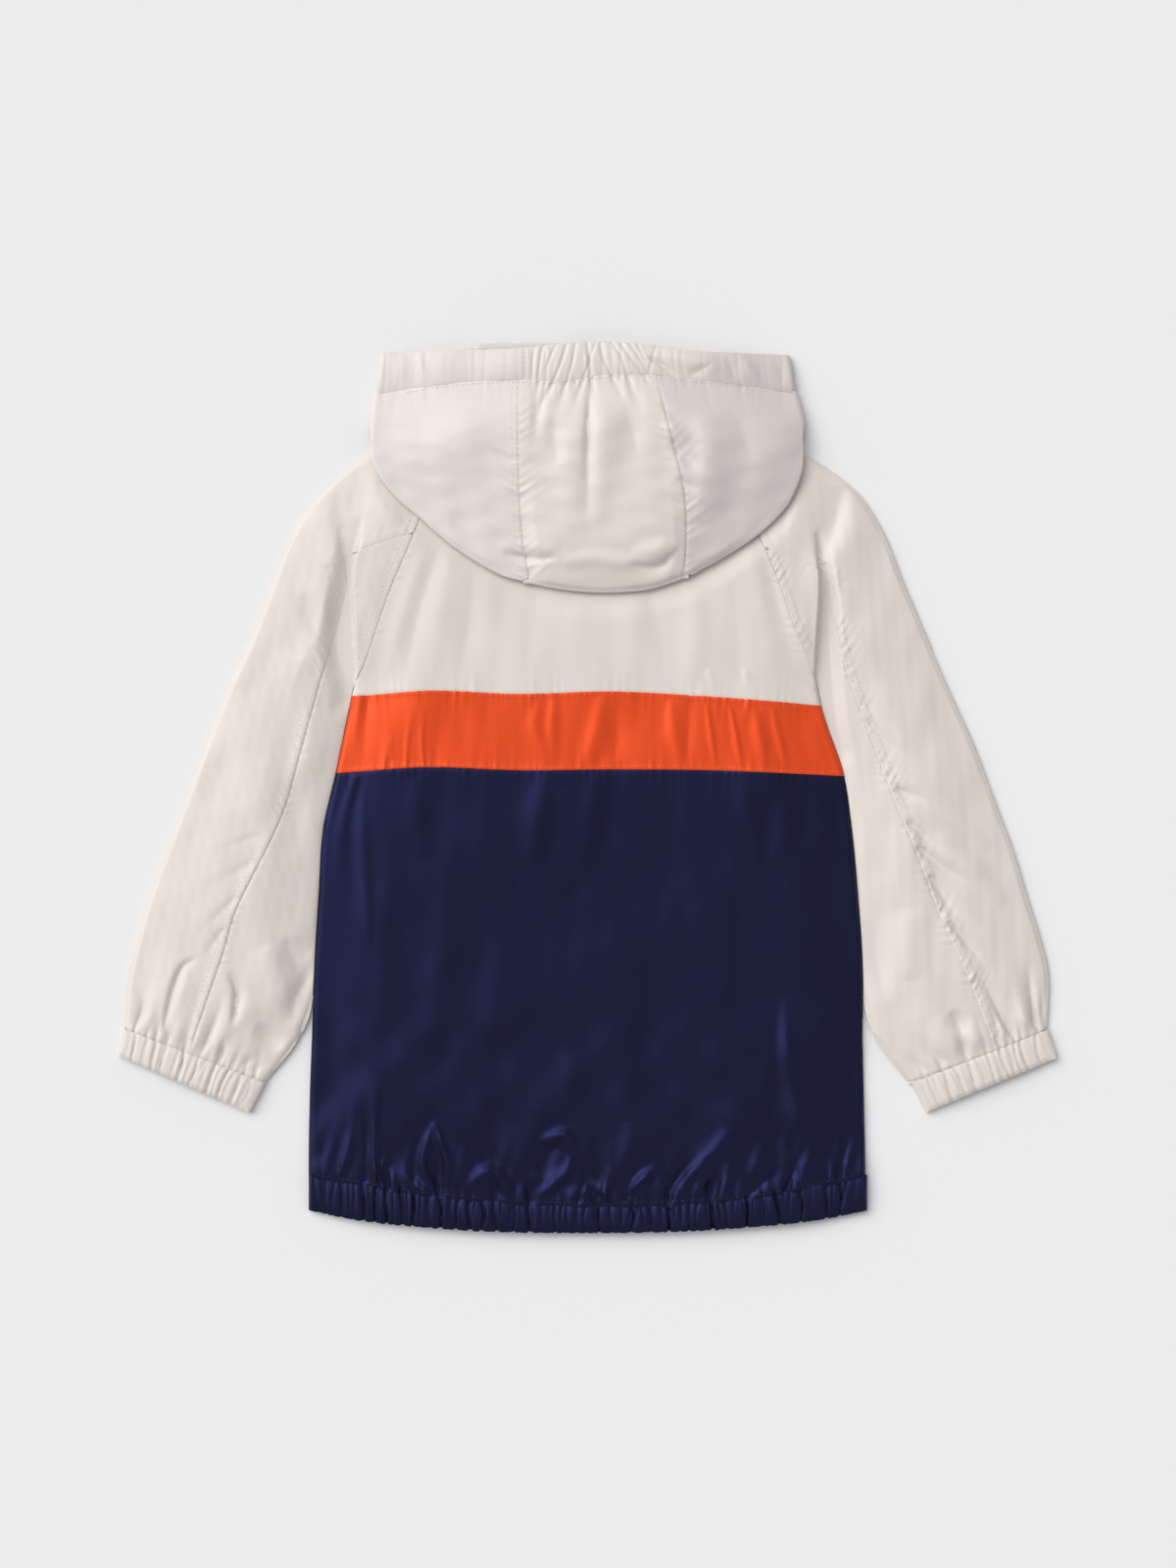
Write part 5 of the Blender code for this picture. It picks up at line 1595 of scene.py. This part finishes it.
def build_hood_centre():
    """The hood's centre panel: down from the casing, round the fold, and up to the neck seam underneath."""
    radius = HOOD_FOLD_Z / 2

    def below_seam(y):
        return 3.0 * smoothstep((138 - y) / 8)

    def seam_left(y):
        return HOOD_SEAMS.at("y", "left", y) - below_seam(y)

    def seam_right(y):
        return HOOD_SEAMS.at("y", "right", y) + below_seam(y)

    def bottom(x):
        return HOOD_BOTTOM.at("x", "y", x) + radius

    size, past = (count(130, 1.1), count(96, 1.1)), (UNDER, 0, UNDER, 0)
    upper = between_lines(line_at(CASING_STITCH), bottom, seam_left, seam_right, *size, past=past)
    lower = between_lines(constant(BACK_NECK_Y), bottom, seam_left, seam_right, 22, upper.shape[1])
    upper, lower = upper.transpose(1, 0, 2), lower.transpose(1, 0, 2)[:, ::-1][:, 1:]
    upper_z = hood_top(upper[..., 0], upper[..., 1])
    past_casing = upper[..., 1] - CASING_STITCH.at("x", "y", upper[..., 0])
    past_left = HOOD_SEAMS.at("y", "left", upper[..., 1]) - upper[..., 0]
    past_right = upper[..., 0] - HOOD_SEAMS.at("y", "right", upper[..., 1])
    upper_z = tucked(upper_z, np.maximum(np.maximum(past_left, past_right), past_casing))
    lower_z = np.full(lower.shape[:2], HOOD_Z + HOOD_REST)
    fold_z = HOOD_Z + HOOD_FOLD_Z
    to_fold = np.linalg.norm(upper - upper[:, -1:], axis=2)
    upper_z = mixed(fold_z, upper_z, smoothstep(to_fold / HOOD_SETTLE))
    points = trimmed(turned_hood(upper, upper_z, lower, lower_z, steps=7))
    cloth_piece("hood_centre", [shell(points, up=(points.shape[0] // 2, 20))], CREAM, "cream_shell")


def casing_share(x, y):
    """How far across the casing a place is, from 0 at its stitches to 1 at its edge."""
    stitch, edge = CASING_STITCH.at("x", "y", x), CASING_EDGE.at("x", "y", x)
    return np.clip((y - stitch) / (edge - stitch), 0, 1)


def casing_top(x, y):
    """The casing's upper side."""
    v = casing_share(x, y)
    z = casing_middle(x) + hood_base(x, y) + 0.9 * np.sin(math.pi * v) ** 0.6
    z += casing_thick(v) + 0.3 * ripple(x, y, 161, 26, 60) + 0.8 * casing_gathers(x, v)
    z += folds(CASING_FOLDS, x, y) * np.sin(math.pi * v) ** 0.4
    strip = np.exp(-(((x - CASING_JOINS[0]) / 1.2) ** 2)) + np.exp(-(((x - CASING_JOINS[1]) / 1.2) ** 2))
    z -= 0.35 * strip
    z += puckers(JOIN_LINE, x, y, 2.6, 0.3, 3.2, 162)
    return z - 0.5 * np.exp(-(((x - JOIN_RIGHT - 0.25 * (y - 258)) / 0.9) ** 2))


def casing_thick(v):
    return 0.3 + 0.35 * smoothstep(v / 0.9) + 0.6 * np.sin(math.pi * v) ** 0.7


def build_hood_casing():
    """The casing of the hood's face opening, a flat tube: from the zip to one corner, over, and back."""
    v, side = tube_section(25, half=0.05, edge_steps=FOLD_STEPS)
    v_in = np.clip(v, 0, 1)
    thick = casing_thick(v_in)

    def corner_left(y):
        return CASING_SIDES.at("y", "left", y) + CASING_CORNER

    def corner_right(y):
        return CASING_SIDES.at("y", "right", y) - CASING_CORNER

    def run(start, end, steps, past_edge=None):
        """Plan places along a stretch between two lines that cross the casing."""
        u = np.linspace(0, 1, steps)[:, None]
        y = 255 + 0 * u * v
        for _ in range(6):
            x = start(y) * (1 - u) + end(y) * u
            top, edge = CASING_STITCH.at("x", "y", x) - 0.2, CASING_EDGE.at("x", "y", x) - 0.8
            if past_edge is not None:
                edge = edge + past_edge(x)
            y = top + (edge - top) * v
        return x, y

    def shows_past(x):
        """The lower layer shows a little past the upper one left of the middle."""
        shown = smoothstep((x + 72) / 6) * smoothstep((-11 - x) / 6)
        return np.clip(LOWER_CASING_Y - CASING_EDGE.at("x", "y", x), 0, 5) * shown

    def drawn_edge(x):
        """The elastic scallops the opening's edge."""
        return 0.5 * casing_gathers(x, 1.0) * elastic(x)

    def flat(x, y):
        return np.dstack([x, y, LOWER_CASING_Z - side * thick + 0 * x])

    def turned(edge_x, edge_y, over_z, outwards):
        """Sections round a corner, from over to under."""
        half_height, middle = (over_z - LOWER_CASING_Z) / 2, (over_z + LOWER_CASING_Z) / 2
        turns = np.linspace(0, math.pi, 10)[1:-1, None]
        offset = side * thick
        x = edge_x + outwards * np.sin(turns) * (CASING_CORNER * 0.8 + offset)
        z = middle + np.cos(turns) * (half_height + offset)
        return np.dstack([x, edge_y + 0 * x, z])

    x, y = run(corner_left, corner_right, count(250, 0.75), drawn_edge)
    middle = casing_middle(x) + hood_base(x, y) + 0.9 * np.sin(math.pi * v_in) ** 0.6
    z = np.where(side > 0, casing_top(x, y) + (side - 1) * thick, middle + side * thick)
    over = np.dstack([x, y, z])
    ends_z = middle[0], middle[-1]
    left = turned(x[0], y[0], ends_z[0], -1)[::-1]
    right = turned(x[-1], y[-1], ends_z[1], 1)
    under_left = flat(*run(constant(-ZIP_GAP / 2), corner_left, count(120, 2.4), shows_past))
    curl = smoothstep((under_left[..., 0] + 76) / 8) * smoothstep((-8 - under_left[..., 0]) / 8)
    under_left[..., 2] += LOWER_CASING_LIFT * curl * smoothstep((v_in - 0.6) / 0.2)
    under_right = flat(*run(corner_right, constant(ZIP_GAP / 2), count(120, 2.4)))
    points = np.concatenate([under_left, left, over, right, under_right])
    up = (len(points) // 2, 6)
    tube = shell(points, TUBE_CLOTH, ring_columns=True, up=up, step=1)
    # The casing's cloth carries painted shade on its right part and a cooler painted tone on its left.
    cloth_piece("hood_casing", [tube], CASING_SHADED_CLOTH, "cream_shell")


# Stitches.
STITCH_RINGS = ((0.0, 0.35), (0.2, 0.85), (0.5, 1.0), (0.8, 0.85), (1.0, 0.35))
STITCH_SIDES = 5


def beside_line(line, off):
    """A line moved sideways, to its left where off is above 0."""
    run = unit(np.gradient(line, axis=0))
    return line + np.column_stack([-run[:, 1], run[:, 0]]) * off


def resampled(line, spacing):
    """Places along a line at a spacing."""
    length = np.concatenate([[0], np.cumsum(np.linalg.norm(np.diff(line, axis=0), axis=1))])
    at = np.arange(spacing * 0.5, length[-1], spacing)
    return np.column_stack([np.interp(at, length, line[:, i]) for i in (0, 1)])


def stitches_along(line, height, pitch=3.1, length=2.3, radius=0.2, seed=0):
    """A run of stitches as small bowed capsules that dip into the cloth at both ends."""
    places = resampled(line, pitch)
    random = np.random.default_rng(seed)
    run = unit(np.gradient(places, axis=0))
    half = length / 2 * (1 + random.uniform(-0.1, 0.1, len(places)))[:, None]
    turn = random.normal(0, 0.04, len(places))
    run = np.column_stack([
        run[:, 0] * np.cos(turn) - run[:, 1] * np.sin(turn),
        run[:, 0] * np.sin(turn) + run[:, 1] * np.cos(turn),
    ])
    start, end = places - run * half, places + run * half
    points, faces = [], []
    sides = np.linspace(0, 2 * math.pi, STITCH_SIDES, endpoint=False)
    cross = np.column_stack([-run[:, 1], run[:, 0]])
    for share, size in STITCH_RINGS:
        at = start + (end - start) * share
        z = height(at[:, 0], at[:, 1]) + radius * (0.15 + 0.75 * math.sin(math.pi * share)) - 0.08
        across = radius * size * np.cos(sides)
        up = radius * size * np.sin(sides)
        ring = np.empty((len(at), STITCH_SIDES, 3))
        ring[..., :2] = at[:, None] + cross[:, None] * across[None, :, None]
        ring[..., 2] = z[:, None] + up[None, :]
        points.append(ring)
    points = np.stack(points, axis=1)
    per = len(STITCH_RINGS) * STITCH_SIDES
    pattern = grid_faces(len(STITCH_RINGS), STITCH_SIDES, False, True)
    for index in range(len(places)):
        faces += (pattern + index * per).tolist()
        faces.append([index * per + i for i in range(STITCH_SIDES)][::-1])
        last = index * per + (len(STITCH_RINGS) - 1) * STITCH_SIDES
        faces.append([last + i for i in range(STITCH_SIDES)])
    return points.reshape(-1, 3), faces


def stitched(name, runs, material, slot):
    """Runs of stitches as one piece."""
    parts = [stitches_along(line, height, seed=seed) for seed, (line, height) in enumerate(runs)]
    trim(make_mesh(name, parts, material))


def build_stitches():
    def sleeve(name):
        return lambda x, y: sleeve_top(name, x, y)

    for name, side in SIDE_OF.items():
        raglan = RAGLANS[name]
        shown = curve(raglan, 60)
        shown = shown[(hood_margin(shown[:, 0], shown[:, 1]) < 4) & (shown[:, 1] > 68)]
        elbow = ELBOWS[name][8:-1]
        rows = ((shown, 1.3), (shown, 5.0), (elbow, 1.4), (elbow, 5.0))
        runs = [(beside_line(line, side * off), sleeve(name)) for line, off in rows]
        stitched(f"sleeve_stitches_{name}", runs, CREAM_THREAD, "cream_shell")
    rows = ((BAND_TOP_LINE, -1.7), (BAND_BOTTOM_LINE, 1.7))
    runs = [(beside_line(trim_to_body(line), off), band_top) for line, off in rows]
    stitched("band_stitches", runs, ORANGE_THREAD, "orange_satin")
    hood_runs = []
    for line in HOOD_SEAM_LINES.values():
        shown = line[(line[:, 1] > 126) & (line[:, 1] < 246)]
        hood_runs += [(beside_line(shown, off), hood_top) for off in (-1.3, -4.6)]
    hood_runs.append((beside_line(CASING_LINE[2:-2], -1.4), hood_top))
    for x in CASING_JOINS:
        hood_runs.append((np.column_stack([np.full(6, x), np.linspace(251, 266.5, 6)]), casing_top))
    stitched("hood_stitches", hood_runs, CREAM_THREAD, "cream_shell")
    hem_run = beside_line(trim_to_body(HEM_LINE), 1.2)
    stitched("hem_stitches", [(hem_run, lower_top)], NAVY_THREAD, "navy_shell")


def trim_to_body(line):
    """The part of a line across the back that lies on it."""
    inside = (line[:, 0] > -beside(-1, line[:, 1]) + 3) & (line[:, 0] < beside(1, line[:, 1]) - 3)
    return line[inside]


# The zip, as the frame has it: tapes between the fronts and the back, and the slider above the front's neck.
TAPE_LOW, TAPE_HIGH = 2.8, 3.6
TAPE_INNER_X, TAPE_OUTER_X = 1.0, 14.0
TAPE_TOP_Y, TAPE_BOTTOM_Y = 262.0, -258.0
TOOTH_PITCH = 2.7
TOOTH_HALF_Z = 0.58
SLIDER_Y = 226.0
SLIDER_HALF_LENGTH = 5.5
SLIDER_LOW, SLIDER_HIGH = 1.8, 4.6
SLIDER_PLATE = 0.7
BRIDGE_LOW = 0.15
BRIDGE_HALF_WIDTH = 0.8
BRIDGE_HALF_LENGTH = 4.5
BRIDGE_SIDES = 12
HINGE_Z = 1.225
TAB_NORTH = 226.35
TAB_LENGTH = 24.0
TAB_HALF_WIDTH = 2.5
TAB_HALF_WALL = 0.3
RIBS = 6
RIB_PITCH = 1.5


def slab(outline, low, high, bevel):
    """A plate with rounded edges over an outline, in millimetres."""
    outline = np.asarray(outline, float)
    centre = outline.mean(axis=0)
    inwards = unit(centre - outline) * bevel
    third = bevel * 0.35
    levels = (
        (outline + inwards, low),
        (outline + inwards * 0.35, low + third),
        (outline, low + bevel),
        (outline, high - bevel),
        (outline + inwards * 0.35, high - third),
        (outline + inwards, high),
    )
    points = np.concatenate([np.column_stack([plan, np.full(len(plan), z)]) for plan, z in levels])
    faces = grid_faces(len(levels), len(outline), False, True).tolist()
    last = (len(levels) - 1) * len(outline)
    faces.append(list(range(len(outline)))[::-1])
    faces.append([last + i for i in range(len(outline))])
    return points, faces


def rounded_outline(half_width, south, north, radius, steps=6, taper=0.0):
    """A rectangle with round corners, its north end narrower by a taper."""
    points = []
    corners = (
        (half_width - radius, south + radius, -90),
        (half_width - taper - radius, north - radius, 0),
        (-half_width + taper + radius, north - radius, 90),
        (-half_width + radius, south + radius, 180),
    )
    for x, y, start in corners:
        for angle in np.radians(np.linspace(start, start + 90, steps)):
            points.append((x + radius * math.cos(angle), y + radius * math.sin(angle)))
    return points


def shifted(part, x=0.0, y=0.0):
    points, faces = part
    return points + np.array([x, y, 0.0]), faces


def tooth_outline(side, head):
    """A tooth from its root on the tape to its head, past the middle where the zip is closed."""
    half = ((3.0, 0.75), (1.1, 0.6), (0.5, 0.5), (head, 0.62), (head - 0.2, 0.3))
    return [(3.0 * side, -0.75)] + [(side * x, y) for x, y in half] + [(side * x, -y) for x, y in half[:0:-1]]


def build_tapes():
    """The two tapes, each woven with a cord in its inner edge, and the row of teeth that grips the cord."""
    tooth_low = (TAPE_LOW + TAPE_HIGH) / 2 - TOOTH_HALF_Z
    tooth_high = (TAPE_LOW + TAPE_HIGH) / 2 + TOOTH_HALF_Z
    for name, side in SIDE_OF.items():
        across, down = np.linspace(0, 1, 13), np.linspace(0, 1, 199)
        v, u = np.meshgrid(down, across, indexing="ij")
        x = TAPE_INNER_X + (TAPE_OUTER_X - TAPE_INNER_X) * u
        y = TAPE_TOP_Y + (TAPE_BOTTOM_Y - TAPE_TOP_Y) * v
        bead = 0.28 * np.exp(-(((x - 2.0) / 0.8) ** 2))
        z = TAPE_HIGH - 0.25 + bead + 0.05 * ripple(x, y, 171, 9, 30)
        tape = shell(np.dstack([side * x, y, z]), 0.5, step=1)
        cloth_piece(f"zip_tape_{name}", [tape], TAPE, "zip_tape", ending="weave")
        start = SLIDER_Y if side < 0 else SLIDER_Y - TOOTH_PITCH / 2
        teeth = []
        for closed, first, last in (
            (True, TAPE_BOTTOM_Y + 2, start - SLIDER_HALF_LENGTH),
            (False, start + SLIDER_HALF_LENGTH + 1, TAPE_TOP_Y - 3),
        ):
            tooth = slab(tooth_outline(side, -0.75 if closed else 0.35), tooth_low, tooth_high, 0.18)
            phase = 0 if side < 0 else TOOTH_PITCH / 2
            for y in np.arange(first + phase, last, TOOTH_PITCH):
                teeth.append(shifted(tooth, y=y))
        made = make_mesh(f"zip_teeth_{name}", teeth, TEETH)
        trim(made)
        mend_normals(made)


def mend_normals(made):
    """Faces pointing outwards, and flats kept flat."""
    body = bmesh.new()
    body.from_mesh(made.data)
    bmesh.ops.recalc_face_normals(body, faces=body.faces)
    body.to_mesh(made.data)
    body.free()
    made.data.set_sharp_from_angle(angle=CRISP)


def metal_piece(node, parts, ending, body="coat"):
    """A metal piece of the zip that stands for its node."""
    made = make_mesh(f"{node}_{ending}", parts, METAL)
    mend_normals(made)
    covering(made, body, "zip_metal", node)


def build_slider():
    """The slider: two shaped plates with turned-in sides, the post between, and the bridge for the tab."""
    south, north = SLIDER_Y - SLIDER_HALF_LENGTH, SLIDER_Y + SLIDER_HALF_LENGTH
    places = ((2.6, south), (3.6, south + 2.0), (3.9, SLIDER_Y + 1.5), (3.6, north - 1.2), (2.4, north))
    half = curve(places, 15)
    outline = np.concatenate([half, half[::-1] * (-1, 1)])
    parts = [
        slab(outline, SLIDER_LOW, SLIDER_LOW + SLIDER_PLATE, 0.2),
        slab(outline, SLIDER_HIGH - SLIDER_PLATE, SLIDER_HIGH, 0.2),
        slab(rounded_outline(0.65, SLIDER_Y + 1, north - 1, 0.5), SLIDER_LOW + 0.3, SLIDER_HIGH - 0.3, 0.1),
    ]
    for side in (-1, 1):
        for low, high in ((SLIDER_LOW + 0.4, SLIDER_LOW + 1.05), (SLIDER_HIGH - 1.05, SLIDER_HIGH - 0.4)):
            edge = rounded_outline(0.35, south + 1.5, SLIDER_Y + 1.5, 0.3)
            parts.append(shifted(slab(edge, low, high, 0.12), x=side * 3.35))
    arch = []
    for angle in np.linspace(0, math.pi, 25):
        flat = abs(math.cos(angle)) ** 0.45 * math.copysign(1, math.cos(angle))
        y = SLIDER_Y + flat * (BRIDGE_HALF_LENGTH - 0.25)
        z = SLIDER_LOW + 0.1 - (SLIDER_LOW - BRIDGE_LOW - 0.15) * math.sin(angle) ** 0.45
        arch.append((y, z))
    arch = np.array(arch)
    run = unit(np.gradient(arch, axis=0))
    normal = np.column_stack([-run[:, 1], run[:, 0]])
    rings = []
    for angle in np.linspace(0, 2 * math.pi, BRIDGE_SIDES, endpoint=False):
        across = BRIDGE_HALF_WIDTH * math.copysign(abs(math.cos(angle)) ** 0.5, math.cos(angle))
        out = 0.25 * math.copysign(abs(math.sin(angle)) ** 0.5, math.sin(angle))
        rings.append(np.column_stack([np.full(len(arch), across), arch + normal * out]))
    rings = np.stack(rings, axis=1)
    faces = grid_faces(len(arch), BRIDGE_SIDES, False, True).tolist()
    last = (len(arch) - 1) * BRIDGE_SIDES
    faces += [list(range(BRIDGE_SIDES))[::-1], [last + i for i in range(BRIDGE_SIDES)]]
    parts.append((rings.reshape(-1, 3), faces))
    metal_piece("zip_slider", parts, "body")


def build_pull_tab():
    """The tab: a crossbar in the bridge, two arms round its eye, and a ribbed grip."""
    south = TAB_NORTH - TAB_LENGTH
    outline = rounded_outline(TAB_HALF_WIDTH, south, TAB_NORTH, 0.9, steps=9, taper=0.35)
    eye = rounded_outline(1.2, TAB_NORTH - 0.7 - 5.2, TAB_NORTH - 0.7, 0.35, steps=9)
    outer, inner = np.array(outline), np.array(eye)
    low, high, bevel = HINGE_Z - TAB_HALF_WALL, HINGE_Z + TAB_HALF_WALL, 0.14
    in_outer = outer + unit(np.array([0, np.mean(outer[:, 1])]) - outer) * bevel
    out_inner = inner + unit(inner - np.mean(inner, axis=0)) * bevel
    loops = (
        (in_outer, low),
        (outer, low + bevel),
        (outer, high - bevel),
        (in_outer, high),
        (out_inner, high),
        (inner, high - bevel),
        (inner, low + bevel),
        (out_inner, low),
    )
    points = np.stack([np.column_stack([plan, np.full(len(plan), z)]) for plan, z in loops], axis=1)
    rows = len(outline)
    index = np.arange(rows * len(loops)).reshape(rows, len(loops))
    following = np.roll(index, -1, axis=0)
    faces = []
    for i in range(len(loops)):
        j = (i + 1) % len(loops)
        faces += np.stack([index[:, i], following[:, i], following[:, j], index[:, j]], axis=-1).tolist()
    parts = [(points.reshape(-1, 3), faces)]
    for step in range(RIBS):
        y = south + 2.2 + step * RIB_PITCH
        rib = rounded_outline(1.6, y, y + 0.7, 0.3)
        parts.append(slab(rib, low - 0.14, high + 0.14, 0.1))
    metal_piece("zip_pull_tab", parts, "metal", body="pull_tab")


def build_zip_box():
    """The box at the zip's foot, with the pin's slot as a step on each side."""
    lo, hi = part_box("zip_box")
    low, high = lo[2] / MM, hi[2] / MM
    south, north = lo[1] / MM, hi[1] / MM
    parts = [slab(rounded_outline(3.5, south, north, 0.8), low, high, 0.35)]
    for side in (-1, 1):
        ridge = rounded_outline(0.55, south + 1.2, north + 2.5, 0.4)
        parts.append(shifted(slab(ridge, low + 0.25, high - 0.25, 0.2), x=side * 1.6))
    metal_piece("zip_box", parts, "metal")


# The setting.
FRAME_HEIGHT = 0.960
VIEW_CENTRE_Y = 0.0021
CAMERA_HEIGHT = 2.1
SENSOR = 36.0
FLOOR_REACH = 40.0
FLOOR_Z = -0.0002
FLOOR_COLOUR = (0.80, 0.80, 0.80, 1)


def floor_material():
    made, _, shader = nodes_of("pale_floor")
    shader.inputs["Base Color"].default_value = FLOOR_COLOUR
    shader.inputs["Roughness"].default_value = 0.9
    shader.inputs["Specular IOR Level"].default_value = 0.1
    return made


# The studio's light: an even dim dome, and soft boxes in it. Each box has its direction, how narrow it is,
# its strength and its colour.
DOME = (0.365, 0.363, 0.385)
BOXES = (
    ((-0.68, 0.42, 0.60), 12, 5.4, (1.0, 0.99, 0.97)),
    ((-0.22, 0.48, 0.85), 24, 2.6, (1.0, 1.0, 1.0)),
    ((0.62, -0.45, 0.64), 8, 0.45, (0.96, 0.965, 1.0)),
)


def studio_world():
    world = bpy.data.worlds.new("studio")
    world.use_nodes = True
    tree = world.node_tree
    background = tree.nodes["Background"]
    direction = add_node(tree, "ShaderNodeTexCoord").outputs["Generated"]
    total = DOME
    for towards, narrow, strength, colour in BOXES:
        towards = Vector(towards).normalized()
        facing = add_node(tree, "ShaderNodeVectorMath", {0: direction, 1: towards}, operation="DOT_PRODUCT")
        lobe = combined(tree, "POWER", combined(tree, "MAXIMUM", facing.outputs["Value"], 0.0), float(narrow))
        light = vector_math(tree, "SCALE", {0: [strength * value for value in colour], "Scale": lobe})
        total = vector_math(tree, "ADD", {0: light, 1: total})
    tree.links.new(total, background.inputs["Color"])
    background.inputs["Strength"].default_value = 1.0
    return world


def build_setting():
    mesh = bpy.data.meshes.new("floor")
    corners = [(x * FLOOR_REACH, y * FLOOR_REACH, FLOOR_Z) for x, y in ((-1, -1), (1, -1), (1, 1), (-1, 1))]
    mesh.from_pydata(corners, [], [(0, 1, 2, 3)])
    mesh.materials.append(floor_material())
    floor = bpy.data.objects.new("floor", mesh)
    bpy.context.scene.collection.objects.link(floor)
    bpy.context.scene.world = studio_world()
    camera = bpy.data.cameras.new("camera")
    camera.sensor_width = SENSOR
    camera.lens = CAMERA_HEIGHT * SENSOR / FRAME_HEIGHT
    made = bpy.data.objects.new("camera", camera)
    made.location = (0, VIEW_CENTRE_Y, CAMERA_HEIGHT)
    bpy.context.scene.collection.objects.link(made)
    bpy.context.scene.camera = made
    bpy.context.scene.view_settings.view_transform = "Standard"
    bpy.context.scene.view_settings.look = "None"


def main():
    build_back()
    build_hem()
    for build in (build_front, build_sleeve, build_cuff, build_hood_side):
        for name in SIDE_OF:
            build(name)
    build_hood_centre()
    build_hood_casing()
    build_stitches()
    build_tapes()
    build_slider()
    build_pull_tab()
    build_zip_box()
    build_setting()


main()
